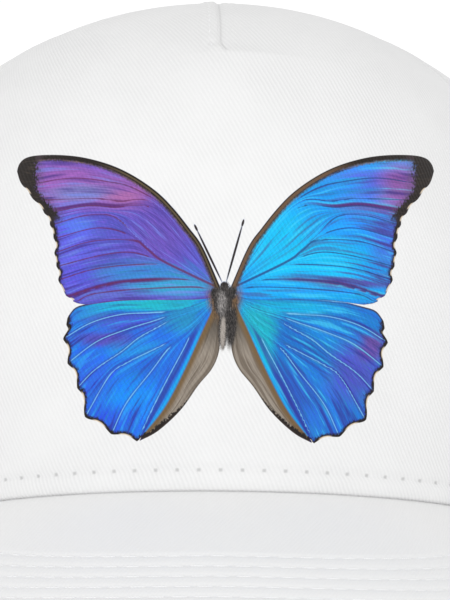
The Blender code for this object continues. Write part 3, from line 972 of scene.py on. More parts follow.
@dataclass(frozen=True)
class ButterflyInk:
    """The blue butterfly printed on the front: the inks of its wings, body and feelers."""

    middle: Pair = (0.11, 0.0)
    border: Triple = seen(28, 20, 16)
    brown: Triple = seen(116, 92, 60)
    fringe: Triple = seen(226, 208, 184)
    plum: Triple = seen(84, 30, 110)

    def attributes(self, spots: Array, off_dart: Array) -> dict[str, Array]:
        """What each point of the panel carries for the print.

        Args:
            spots: Where the points fall in the photograph's picture.
            off_dart: How far they lie beside the dart's seam.

        Returns:
            The named values.
        """
        x, y = spots[..., 0] - self.middle[0], spots[..., 1] - self.middle[1]
        artwork = np.stack((x, y, off_dart), axis=-1)
        return {"artwork": artwork, **FOREWING.fields(x, y), **HINDWING.fields(x, y)}

    def scales(self, nodes: Nodes, at: WingMap, ink: WingInk, art: Field) -> Field:
        """Lays the ground, the soft pools and the streaks of a wing.

        Args:
            nodes: The material under way.
            at: What the wing's ink reads.
            ink: The wing's inks.
            art: The place in the artwork.

        Returns:
            The wing's colour.
        """
        push = (at.broad - 0.5) * 7.0
        place = nodes.shifted(art, push * 0.35, push)
        colour = nodes.mix(at.right, *ink.ground)
        for glow in ink.glows:
            scale = (1 / glow.wide, 1 / glow.high, 0.0)
            spot = nodes.moved(place, scale, (-glow.x * scale[0], -glow.y * scale[1], 0.0))
            share = nodes.length(spot).ease(0.25, 1.15, glow.strength, 0.0)
            colour = nodes.mix(share, colour, seen(*glow.look))
        grain = nodes.noise(art, 3.2, 3.0, 0.7)
        value = at.fine + grain * 0.55 + at.broad * 0.7 - 0.125
        colour = nodes.tint(colour, at.fine * 0.08 + 0.46, value)
        deep = at.middling.ease(0.52, 0.66, 0.0, 0.8) * at.outer.ease(3.0, 14.0, 1.0, 0.65)
        light = nodes.mix(at.right, ink.bright, seen(70, 214, 255))
        return nodes.layer(colour, (deep, ink.dark), (at.middling.ease(0.44, 0.34, 0.0, 0.5), light))

    def fore_marks(self, nodes: Nodes, at: WingMap, ink: WingInk, colour: Field) -> Field:
        """Draws the plum stripes, the veins and the trunk vein of the front wings.

        Args:
            nodes: The material under way.
            at: What the wing's ink reads.
            ink: The wing's inks.
            colour: The colour so far.

        Returns:
            The colour with them.
        """
        vein_ink = nodes.mix(at.right, ink.veins, seen(30, 62, 130))
        for place, start in ((9.0, 9.0), (2.8, 24.0)):
            stripe = (abs(at.vein - place) * at.room - at.broad * 0.5).ease(-0.05, 0.5, 0.9, 0.0)
            colour = nodes.mix(stripe * at.along.ease(start, start + 7.0), colour, self.plum)
        trunk = abs(at.past).ease(0.1, 0.42, 0.85, 0.0) * at.along.ease(22.0, 25.0, 1.0, 0.0)
        return nodes.layer(colour, (at.near.ease(0.05, 0.26, 0.8, 0.0), vein_ink), (trunk, vein_ink))

    def hind_marks(self, nodes: Nodes, at: WingMap, ink: WingInk, colour: Field) -> Field:
        """Draws the stripes and veins of the rear wings and the tan fold beside the body.

        Args:
            nodes: The material under way.
            at: What the wing's ink reads.
            ink: The wing's inks.
            colour: The colour so far.

        Returns:
            The colour with them.
        """
        for place, stripe_ink in ((6.3, ink.dark), (6.82, seen(0, 178, 240))):
            stripe = (abs(at.vein - place) - at.broad * 0.12).ease(0.02, 0.24, 0.75, 0.0)
            colour = nodes.mix(stripe * at.along.ease(6.0, 12.0), colour, stripe_ink)
        tan = nodes.layer(nodes.mix(at.fine, seen(116, 104, 90), seen(176, 166, 154)),
                          (at.middling.ease(0.46, 0.62, 0.0, 0.6), seen(84, 70, 56)),
                          (at.along.ease(6.0, 15.0, 0.75, 0.0), seen(60, 54, 48)))
        rust = at.past.ease(-0.45, 0.0) * at.past.ease(0.3, 1.6, 1.0, 0.0)
        foot = (at.rough * 2.4 + at.edge + at.along.ease(22.0, 32.0, 0.8, -0.4)).ease(0.3, 0.9, 1.0, 0.0)
        brink = at.inside.ease(0.15, 0.45, 0.9, 0.0) * at.along.ease(24.0, 31.0)
        return nodes.layer(
            colour,
            (at.near.ease(0.15, 0.7, 0.45, 0.0), ink.dark),
            (at.near.ease(0.03, 0.17, 0.75, 0.0), ink.veins),
            (at.past.ease(-0.1, 0.35), tan),
            (rust, self.brown),
            (at.edge.ease(0.12, 0.5, 0.8, 0.0), seen(74, 62, 50)),
            (foot * at.along.ease(17.0, 26.0), self.border),
            (brink, seen(50, 36, 30)),
        )

    def front_edge(self, nodes: Nodes, at: WingMap, colour: Field) -> Field:
        """Draws the dark and brown bands along the front wings' leading edge.

        Args:
            nodes: The material under way.
            at: What the wing's ink reads.
            colour: The colour so far.

        Returns:
            The colour with them.
        """
        band = at.rough * 0.8 + at.edge
        olive = nodes.mix(at.fine.ease(0.4, 0.65), self.border, self.brown)
        rib = (abs(at.edge - 0.58) - at.right * 0.16).ease(0.1, 0.26, 0.85, 0.0)
        rib_ink = nodes.mix(at.right, seen(98, 84, 58), seen(114, 88, 66))
        return nodes.layer(
            colour,
            (band.ease(1.1, 1.8, 0.9, 0.0), olive),
            (band.ease(0.8, 1.2, 1.0, 0.0), self.border),
            (rib * at.along.ease(33.0, 42.0, 1.0, 0.0), rib_ink),
        )

    def apex(self, nodes: Nodes, at: WingMap, colour: Field) -> Field:
        """Draws the black tips of the front wings.

        Args:
            nodes: The material under way.
            at: What the wing's ink reads.
            colour: The colour so far.

        Returns:
            The colour with them.
        """
        out = at.rough * 4.0 + abs(at.sideways) + at.up.ease(18.0, 26.0, 5.0, 0.0)
        high = at.up.ease(16.5, 19.5)
        black = nodes.mix(at.fine.ease(0.5, 0.8), self.border, seen(74, 62, 52))
        return nodes.layer(colour, (out.ease(40.4, 43.0, 0.0, 0.45) * high, seen(88, 70, 80)),
                           (out.ease(42.2, 43.4) * high, black))

    def wings(self, nodes: Nodes, wing: Wing, ink: WingInk, art: Field) -> tuple[Field, Field]:
        """Paints one pair of wings.

        Args:
            nodes: The material under way.
            wing: The wing's drawing.
            ink: Its inks.
            art: The place in the artwork.

        Returns:
            The ink's colour and where it lies.
        """
        at = WingMap(nodes, wing, art)
        colour = self.scales(nodes, at, ink, art)
        wave = nodes.math("POWER", abs((at.vein * math.pi).sine()), 1.4)
        for start, end, before, after in wing.calm:
            wave = wave * at.vein.ease(start, end, before, after)
        rim = at.outer - wave * wing.scallop
        ragged = at.rough * 1.3 + rim
        if wing.leading:
            colour = self.front_edge(nodes, at, self.fore_marks(nodes, at, ink, colour))
            ragged = ragged - at.up.ease(10.0, 20.0, 0.15, 0.6) + at.up.ease(0.5, 6.0, 0.65, 0.0)
        else:
            colour = self.hind_marks(nodes, at, ink, colour)
            ragged = ragged - 0.2
        colour = nodes.layer(colour, (ragged.ease(0.3, 1.15, 0.5, 0.0), ink.dark),
                             (ragged.ease(0.2, 0.8, 1.0, 0.0), self.border))
        if wing.leading:
            colour = self.apex(nodes, at, colour)
        colour = nodes.mix(wave.ease(0.5, 0.9) * rim.ease(0.1, 0.36, 1.0, 0.0), colour, self.fringe)
        return colour, nodes.math("MINIMUM", at.inside, rim).ease(-0.08, 0.06)

    def blot(self, nodes: Nodes, place: Field, centre: Pair, reach: Pair, turn: float, soft: float) -> Field:
        """A soft-edged oval.

        Args:
            nodes: The material under way.
            place: The place in the artwork.
            centre: Its middle.
            reach: Its reach to the sides and up.
            turn: Its turn, in radians.
            soft: How soft its edge is.

        Returns:
            1 inside it and 0 outside.
        """
        local = nodes.moved(place, (1.0, 1.0, 0.0), (-centre[0], -centre[1], 0.0))
        local = nodes.moved(nodes.moved(local, (1.0, 1.0, 0.0), turn=turn), (1 / reach[0], 1 / reach[1], 0.0))
        return nodes.length(local).ease(1.0 - soft, 1.0 + soft, 1.0, 0.0)

    def body(self, nodes: Nodes, art: Field, ink: Field, mask: Field) -> tuple[Field, Field]:
        """Paints the feelers, the hairy thorax and the abdomen over the wings.

        Args:
            nodes: The material under way.
            art: The place in the artwork.
            ink: The wings' colour.
            mask: Where the wings lie.

        Returns:
            The whole print's colour and where it lies.
        """
        hair = nodes.noise(nodes.moved(art, (1.0, 0.25, 1.0)), 5.0, 4.0, 0.7)
        push = (nodes.noise(art, 6.0, 3.0, 0.6) - 0.5) * 1.6
        fuzzy = nodes.shifted(art, push, push * 0.6)
        golden = nodes.mix(hair.ease(0.35, 0.65), seen(44, 34, 28), seen(138, 106, 72))
        dark = nodes.mix(hair.ease(0.4, 0.78), seen(20, 18, 18), seen(104, 98, 96))
        pale = nodes.mix(hair.ease(0.34, 0.7), seen(64, 60, 60), seen(176, 172, 170))
        grey = nodes.mix(hair, seen(90, 82, 76), seen(206, 198, 190))
        layers = (
            (golden, (-2.5, -0.8), (1.3, 3.4), -0.25, 0.8), (golden, (2.1, -0.6), (1.3, 3.2), 0.25, 0.8),
            (dark, (0.8, -3.9), (0.85, 2.4), 0.0, 0.3), (dark, (1.4, -6.1), (1.15, 4.8), 0.1, 0.3),
            (dark, (-0.55, -6.6), (1.05, 4.8), 0.03, 0.12), (grey, (-0.6, -7.2), (0.6, 3.9), 0.03, 0.3),
            (dark, (1.3, 1.7), (1.2, 1.5), 0.0, 0.3), (dark, (-2.4, 1.5), (1.0, 1.4), 0.0, 0.3),
            (dark, (-0.6, -0.3), (2.2, 3.5), 0.0, 0.14), (pale, (-0.8, -0.6), (0.95, 2.6), 0.0, 0.7),
            (dark, (-0.2, 3.1), (1.1, 1.1), 0.0, 0.15),
        )
        spots = [(self.blot(nodes, fuzzy, *shape), colour) for colour, *shape in layers]
        for root, tip in (((-0.75, 4.0), (-6.7, 16.4)), ((0.15, 4.0), (3.95, 17.5))):
            middle = ((root[0] + tip[0]) / 2, (root[1] + tip[1]) / 2)
            turn = -math.atan2(tip[1] - root[1], tip[0] - root[0])
            line = self.blot(nodes, art, middle, (math.dist(root, tip) / 2 + 0.2, 0.26), turn, 0.25)
            knob = self.blot(nodes, art, tip, (0.9, 0.27), turn, 0.2)
            spots.append((nodes.math("MAXIMUM", line, knob), seen(44, 34, 30)))
        for spot, colour in spots:
            ink, mask = nodes.mix(spot, ink, colour), nodes.math("MAXIMUM", mask, spot)
        return ink, mask

    def material(self, twill: Twill) -> Material:
        """Makes the front panel's cloth with the print in it.

        Args:
            twill: The cloth.

        Returns:
            The material.
        """
        nodes = Nodes("crown_twill_printed")
        height, white = twill.weave(nodes)
        art = nodes.attribute("artwork")
        hind, under = self.wings(nodes, HINDWING, HIND_INK, art)
        fore, over = self.wings(nodes, FOREWING, FORE_INK, art)
        ink, mask = self.body(nodes, art, nodes.mix(over, hind, fore), nodes.math("MAXIMUM", under, over))
        # The print is painted darker in the weave's grooves: painted shade.
        ink = nodes.tint(ink, 0.5, height * 0.16 + 0.9)
        # A dark line painted along the dart's seam: painted shade in the seam's fold.
        beside, above = nodes.split(art)[2], nodes.split(nodes.uv())[1]
        start = Panels.dart_end
        seam = abs(beside).ease(0.08, 0.4, 0.2, 0.0) * above.ease(start - 0.4, start + 0.8)
        white = nodes.mix(seam, white, dim(twill.colour, 0.35))
        nodes.set(Base_Color=nodes.mix(mask, white, ink), Roughness=mask * -0.2 + 0.85, Sheen_Weight=0.15,
                  Specular_IOR_Level=0.2)
        nodes.bump(height, twill.depth)
        return nodes.material


@dataclass(frozen=True)
class Studio:
    """A pale floor and plain soft light."""

    surround: float = 1.0
    key_watts: float = 8.8
    key_size: float = 1.0
    key_place: Triple = (-0.14, -1.6, 0.26)
    key_aim: Triple = (0.0, 0.0, 0.07)
    floor_size: float = 3.0
    floor_glow: float = 0.22

    def build(self) -> None:
        """Adds the floor, the lights and the pale surround."""
        scene = bpy.context.scene
        scene.view_settings.view_transform = "Standard"
        world = bpy.data.worlds.new("surround")
        scene.world = world
        world.use_nodes = True
        light = world.node_tree.nodes["Background"]
        light.inputs[0].default_value = (1.0, 1.0, 1.0, 1.0)
        light.inputs[1].default_value = self.surround
        shape = bmesh.new()
        bmesh.ops.create_grid(shape, x_segments=1, y_segments=1, size=self.floor_size)
        floor = finish_object("floor", shape)
        nodes = Nodes("floor_paper")
        grain = nodes.noise(nodes.spot(), 60.0, 3.0)
        nodes.set(Base_Color=nodes.mix(grain, (0.80, 0.80, 0.80), (0.84, 0.84, 0.84)), Roughness=0.9,
                  Emission_Color=(1.0, 1.0, 1.0, 1.0), Emission_Strength=self.floor_glow)
        floor.data.materials.append(nodes.material)
        key = bpy.data.lights.new("key", "AREA")
        key.shape = "DISK"
        key.size = self.key_size
        key.energy = self.key_watts
        lamp = bpy.data.objects.new("key", key)
        lamp.location = self.key_place
        lamp.rotation_euler = (Vector(self.key_aim) - lamp.location).to_track_quat("-Z", "Y").to_euler()
        scene.collection.objects.link(lamp)


@dataclass(frozen=True)
class Stitch:
    """A row of equal stitches in thread."""

    pitch: float = 3.0
    share: float = 0.76
    radius: float = 0.2
    sink: float = 0.1
    start: float = 0.0

    def sew(self, shape: bmesh.types.BMesh, spots: Array, normals: Array) -> None:
        """Adds stitches along a line.

        Args:
            shape: The mesh that takes them.
            spots: Points of the line on the cloth.
            normals: The cloth's outward direction at each.
        """
        run = np.concatenate(([0.0], np.cumsum(np.linalg.norm(np.diff(spots, axis=0), axis=1))))
        length = self.pitch * self.share
        starts = np.arange(self.start, run[-1] - length, self.pitch)
        first, last = reading(starts, run, spots), reading(starts + length, run, spots)
        out = unit(reading(starts + length / 2, run, normals))
        row = bmesh.new()
        for a, b, up in zip(first, last, out):
            along = (b - a) / 2
            side = unit(np.cross(up, along))
            middle = (a + b) / 2 - up * self.sink
            seat = Matrix((side * self.radius * 1.15, up * self.radius, along)).transposed().to_4x4()
            bmesh.ops.create_uvsphere(row, u_segments=6, v_segments=5, radius=1.0,
                                      matrix=REST @ Matrix.Translation(middle) @ seat)
        made = bpy.data.meshes.new("row")
        row.to_mesh(made)
        row.free()
        shape.from_mesh(made)
        bpy.data.meshes.remove(made)


@dataclass(frozen=True)
class Thread:
    """White spun thread, laid in a tight twist."""

    name: str = "white_thread"
    colour: Triple = (0.86, 0.865, 0.87)

    def material(self) -> Material:
        """Makes the material.

        Returns:
            The material.
        """
        nodes = Nodes(self.name)
        spot = nodes.spot()
        twist = nodes.add("TexWave", {"Vector": spot, "Scale": 900.0, "Distortion": 1.5}, 1,
                          bands_direction="DIAGONAL")
        height = twist * 0.7 + nodes.noise(spot, 3000.0, 3.0) * 0.3
        # The twist's low parts are painted darker: painted shade in its grooves.
        grey = dim(self.colour, 0.82)
        nodes.set(Base_Color=nodes.mix(height, grey, self.colour), Roughness=0.6, Sheen_Weight=0.2)
        nodes.bump(height, 0.05)
        return nodes.material


@dataclass(frozen=True)
class Webbing:
    """Plain-woven tape or stiff cloth, with threads over and under each other."""

    name: str
    colour: Triple
    pitch: float = 0.6
    shade: float = 0.25
    depth: float = 0.12

    def material(self) -> Material:
        """Makes the material.

        Returns:
            The material.
        """
        nodes = Nodes(self.name)
        cloth = nodes.uv()
        x, y, _ = nodes.split(cloth)
        warp, weft = (x * (math.pi / self.pitch)).sine(), (y * (math.pi / self.pitch)).sine()
        plain = warp * weft * 0.5 + 0.5
        height = plain * 0.6 + nodes.noise(cloth, 1.5, 4.0, 0.65) * 0.4
        # The weave's low parts are painted darker: painted shade where the threads dip under.
        share = nodes.math("SUBTRACT", 1.0, height) * self.shade
        nodes.set(Base_Color=nodes.mix(share, self.colour, dim(self.colour, 0.5)), Roughness=0.85,
                  Sheen_Weight=0.1)
        nodes.bump(height, self.depth)
        return nodes.material


@dataclass(frozen=True)
class Steel:
    """Nickel-plated sheet steel with fine brushing and a few dull spots."""

    name: str = "nickel_steel"
    colour: Triple = (0.66, 0.65, 0.63)

    def material(self) -> Material:
        """Makes the material.

        Returns:
            The material.
        """
        nodes = Nodes(self.name)
        spot = nodes.spot()
        brushed = nodes.noise(nodes.moved(spot, (1.0, 1.0, 14.0)), 260.0, 4.0)
        dull = nodes.noise(spot, 120.0, 3.0).ease(0.45, 0.75)
        nodes.set(Base_Color=nodes.mix(dull, self.colour, dim(self.colour, 0.72)), Metallic=1.0,
                  Roughness=brushed * 0.25 + 0.2)
        nodes.bump(brushed, 0.02)
        return nodes.material


def stitched(name: str, slot: str, material: Material,
             rows: Sequence[tuple[Stitch, Array, Array]]) -> bpy.types.Object:
    """Sews rows of stitches as one piece.

    Args:
        name: Name of the piece.
        slot: The record's material slot.
        material: The thread's material.
        rows: The kind of stitch, the spots and the outward directions of each row.

    Returns:
        The piece.
    """
    shape = bmesh.new()
    for kind, spots, normals in rows:
        kind.sew(shape, spots, normals)
    return dress(finish_object(name, shape), slot, material)


@dataclass
class Panels:
    """The seamless front panel, two sides and two backs, with their hem and topstitching."""

    cloth: float = 1.1
    topstitch: float = 2.6
    hem_stitch: float = 4.2
    arch_half_width: float = 45.0
    arch_height: float = 48.0
    hole: float = 2.5
    hem_drop: float = 0.6
    middle_drop: float = 0.3
    dart_end: float = 104.8
    stud_hole: float = 2.8
    seam_roll: float = 0.5
    seam_pad: float = 0.25
    stitch_dent: float = 0.22
    hem_fold: float = 0.42
    top_row: Stitch = Stitch()
    eyelet_places: tuple[Pair, ...] = ((math.radians(90.0), 0.56), (math.radians(149.0), 0.60))

    def seam_relief(self, distance: Array) -> Array:
        """How the cloth rolls into a seam and stands proud over the seam allowance.

        Args:
            distance: Distances from the seam.

        Returns:
            The relief, in millimetres.
        """
        fall = 1 - smooth(self.topstitch, self.topstitch + 2.0, distance)
        pad = self.seam_pad * smooth(0.3, 1.3, distance) * fall
        dent = self.stitch_dent * hump(distance - self.topstitch, 0.4)
        return pad - self.seam_roll * hump(distance, 0.8) - dent

    def hem_relief(self, up: Array, along: Array) -> Array:
        """The padded fold along the hem, drawn in by each stitch.

        Args:
            up: Heights up the cloth.
            along: Places along it.

        Returns:
            The relief, in millimetres.
        """
        pull = 0.55 + 0.45 * np.cos(along * math.tau / HEM_PITCH)
        fold = self.hem_fold * smooth(-0.4, 1.2, up) * (1 - smooth(2.4, self.hem_stitch, up))
        above = 0.16 * smooth(self.hem_stitch, 5.4, up) * (1 - smooth(5.4, 9.0, up))
        return fold - 0.3 * hump(up, 0.35) + above - (0.12 + 0.2 * pull) * hump(up - self.hem_stitch, 0.55)

    def top(self, phi: Array) -> Array:
        """The t at which the panels end round the button's stud."""
        return CROWN.top_end(phi, self.stud_hole)

    def build_front(self) -> Sheet:
        """Lays out the front panel.

        Returns:
            The sheet.
        """
        place = CROWN.between_seams(-CROWN.front_seam, CROWN.front_seam, CROWN.seam_gap, 0.0, 0.0, self.top)
        along = stops((-62, -58, 8), (-58, -38, 14), (-38, 38, 200), (38, 58, 14), (58, 62, 8))
        up = stops((0, 0.065, 20), (0.065, 0.4, 100), (0.4, 0.53, 8), (0.53, 0.62, 22), (0.62, 1, 18))
        sheet = Sheet(place, along, up)
        from_edge = np.minimum(sheet.from_start, sheet.from_end)
        drop = self.hem_drop * smooth(0.0, 12.0, from_edge) + self.middle_drop * smooth(35.0, 75.0, from_edge)
        sheet.base[..., 2] -= drop * (1 - smooth(0.0, 3.0, sheet.up_mm))
        sheet.relief += self.seam_relief(sheet.from_start) + self.seam_relief(sheet.from_end)
        sheet.relief += self.hem_relief(sheet.up_mm, sheet.along_mm) + self.dart_relief(sheet)
        return sheet

    def off_dart(self, sheet: Sheet) -> Array:
        """How far each point of the front panel lies to the right of the dart's seam.

        Args:
            sheet: The sheet.

        Returns:
            The distances.
        """
        way = (-0.1, -0.1, -1.0, 0.0)
        heights = (self.dart_end + 3.0, self.dart_end + 11.0, self.dart_end + 40.0, 175.0)
        seam = np.interp(sheet.up_mm, heights, way)
        return sheet.along_mm - seam - 1.3 * (1 - smooth(0.0, 5.0, sheet.up_mm - self.dart_end))

    def dart_relief(self, sheet: Sheet) -> Array:
        """The dart's seam down from the button, and the crease and pucker where it ends.

        Args:
            sheet: The sheet.

        Returns:
            The relief, in millimetres.
        """
        off, above = self.off_dart(sheet), sheet.up_mm - self.dart_end
        lap = 0.3 * smooth(0.2, 0.9, -off) * (1 - smooth(2.8, 4.5, -off))
        seam = 0.5 * self.seam_relief(np.abs(off)) + lap
        reach = hump(off, np.where(off < 0, 7.0, 17.0))
        ridge = 1.3 * reach * np.exp(-np.abs(above) / np.where(above > 0, 3.6, 11.0))
        pucker = -0.5 * hump(off + 2.2, 1.1) * hump(above - 3.6, 1.2)
        return seam * smooth(0.0, 1.5, above) + ridge + pucker

    def build_side(self, sign: int) -> Sheet:
        """Lays out a side panel, on the left for sign 1 and on the right for -1.

        Args:
            sign: 1 for the left, -1 for the right.

        Returns:
            The sheet.
        """
        ends = sorted((sign * CROWN.front_seam, sign * CROWN.side_seam))
        place = CROWN.between_seams(ends[0], ends[1], CROWN.seam_gap, 0.0, 0.0, self.top)
        along = stops((0, 5, 10), (5, 51, 40), (51, 56, 10))
        sheet = Sheet(place, along, stops((0, 0.065, 20), (0.065, 1, 80)))
        sheet.relief += self.seam_relief(sheet.from_start) + self.seam_relief(sheet.from_end)
        sheet.relief += self.hem_relief(sheet.up_mm, sheet.along_mm)
        return sheet

    def build_back(self, sign: int) -> Sheet:
        """Lays out a back panel, whose lower edge runs up along the arch.

        Args:
            sign: 1 for the left, -1 for the right.

        Returns:
            The sheet.
        """
        corner = math.pi - math.asin(self.arch_half_width / CROWN.half_width)
        turn = 0.42

        def place(u: Array, v: Array) -> Array:
            share = u if sign > 0 else 1 - u
            level = np.clip(v, 0, 1) * self.top(np.full_like(v, 2.6))
            side, middle = np.full_like(v, CROWN.side_seam), np.full_like(v, math.pi)
            first = side + CROWN.seam_gap / CROWN.cloth_per_radian(side, level)
            last = middle - CROWN.seam_gap / CROWN.cloth_per_radian(middle, level)
            around = np.clip((share - turn) / (1 - turn), 0, 1) * (math.pi / 2 - 0.004)
            low_phi, low_t = self.on_arch(around)
            low_phi = np.where(share < turn, first + (corner - first) * share / turn, low_phi)
            low_t = np.where(share < turn, 0.0, low_t)
            high_phi = first + (last - first) * share
            reach = 1 - (1 - v) ** 1.5
            phi = low_phi + (high_phi - low_phi) * np.where(share < turn, v, reach)
            phi = np.where(share >= 1, last, np.where(share <= 0, first, phi))
            return CROWN.point(sign * phi, low_t + (self.top(phi) - low_t) * v)
        along = stops((0, 5, 10), (5, 40, 30), (40, 57, 40), (57, 62, 12))
        up = stops((0, 0.075, 20), (0.075, 1, 80))
        sheet = Sheet(place, along if sign > 0 else 1 - along[::-1], up)
        sheet.relief += self.seam_relief(sheet.from_start) + self.seam_relief(sheet.from_end)
        sheet.relief += self.hem_relief(sheet.up_mm, sheet.along_mm)
        return sheet

    def on_arch(self, angle: Array) -> tuple[Array, Array]:
        """The angle and t of the crown at an angle round the arch, from its foot to its top."""
        x, z = self.arch_half_width * np.cos(angle), self.arch_height * np.sin(angle)
        return find_at_back(x, z)

    def punch(self, obj: bpy.types.Object, spot: Array) -> None:
        """Opens the cloth under an eyelet.

        Args:
            obj: The panel.
            spot: The eyelet's middle.
        """
        centre = Vector(to_world(spot[None])[0])
        shape = bmesh.new()
        shape.from_mesh(obj.data)
        inside = [face for face in shape.faces
                  if (face.calc_center_median() - centre).length < self.hole * MM]
        bmesh.ops.delete(shape, geom=inside, context="FACES")
        rim = {vert for edge in shape.edges if edge.is_boundary for vert in edge.verts
               if (vert.co - centre).length < 3 * self.hole * MM}
        for vert in rim:
            vert.co = centre + (vert.co - centre).normalized() * self.hole * MM
        shape.to_mesh(obj.data)
        shape.free()
        obj.data.shade_smooth()

    def build(self, twill: Material, front_twill: Material,
              thread: Material) -> None:
        """Makes the five panels and all their stitches.

        Args:
            twill: The cloth's material.
            front_twill: The printed cloth's material.
            thread: The thread's material.
        """
        rows = []
        front = self.build_front()
        sheets = {"front_panel": front}
        for side, sign in (("left", 1), ("right", -1)):
            sheets[f"side_panel_{side}"] = self.build_side(sign)
            sheets[f"back_panel_{side}"] = self.build_back(sign)
        for name, sheet in sheets.items():
            printed = None
            if sheet is front:
                printed = ButterflyInk().attributes(CAMERA.picture(sheet.points()), self.off_dart(sheet))
            obj = sheet.make(f"{name}_cloth", self.cloth, extra=printed)
            kind, side = name.split("_")[0], name.split("_")[-1]
            if kind in ("side", "back"):
                phi, t = self.eyelet_places[0 if kind == "side" else 1]
                self.punch(obj, CROWN.point(phi if side == "left" else -phi, t))
            dress(obj, "crown_twill", front_twill if sheet is front else twill, name)
            points = sheet.points()
            for edge in (sheet.from_start, sheet.from_end):
                rows.append((self.top_row, *self.trace(sheet, points, edge.T, self.topstitch)))
            start = (0.7 - float(np.interp(self.hem_stitch, sheet.up_mm[2], sheet.along_mm[2]))) % HEM_PITCH
            hem_row = Stitch(pitch=HEM_PITCH, share=0.72, radius=0.2, sink=0.16, start=start)
            rows.append((hem_row, *sheet.line_up(points, self.hem_stitch, skip=2)))
            if sheet is front:
                rows.append((self.top_row, *self.trace_dart(sheet, points)))
        stitched("crown_stitches", "crown_twill", thread, rows)

    def trace_dart(self, sheet: Sheet, points: Array) -> tuple[Array, Array]:
        """The spots and directions along the topstitching beside the dart.

        Args:
            sheet: The sheet.
            points: The points of its face.

        Returns:
            The spots and the outward directions.
        """
        way = np.abs(self.off_dart(sheet) + self.topstitch)[:, 8:-4]
        column = np.argmin(way, axis=0)
        row = np.arange(8, 8 + way.shape[1])
        kept = sheet.up_mm[column, row] > self.dart_end + 2.0
        return points[column, row][kept], sheet.normal[column, row][kept]

    def trace(self, sheet: Sheet, points: Array, distance: Array,
              wanted: float) -> tuple[Array, Array]:
        """The line on a sheet at a distance from its left or right edge, from row to row.

        Args:
            sheet: The sheet.
            points: The points of its face.
            distance: Each point's distance from that edge.
            wanted: The line's distance.

        Returns:
            The spots and the outward directions.
        """
        spots, normals = [], []
        for row in range(4, sheet.shape[1] - 6):
            order = np.argsort(distance[row])
            if distance[row].max() < 3 * wanted:
                break
            spots.append(reading(wanted, distance[row][order], points[order, row]))
            normals.append(reading(wanted, distance[row][order], sheet.normal[order, row]))
        return np.array(spots), np.array(normals)


def find_at_back(x: Array, z: Array) -> tuple[Array, Array]:
    """The angle and t at which the back of the crown passes through each x and height.

    Args:
        x: Distances to the left.
        z: Heights over the hem.

    Returns:
        The angles and the values of t.
    """
    phi = math.pi - np.arcsin(np.clip(x / CROWN.half_width, -1, 1))
    for _ in range(20):
        t = CROWN.find_height(phi, z)
        phi = phi - (x - CROWN.point(phi, t)[..., 0]) / CROWN.half_width
    return phi, t


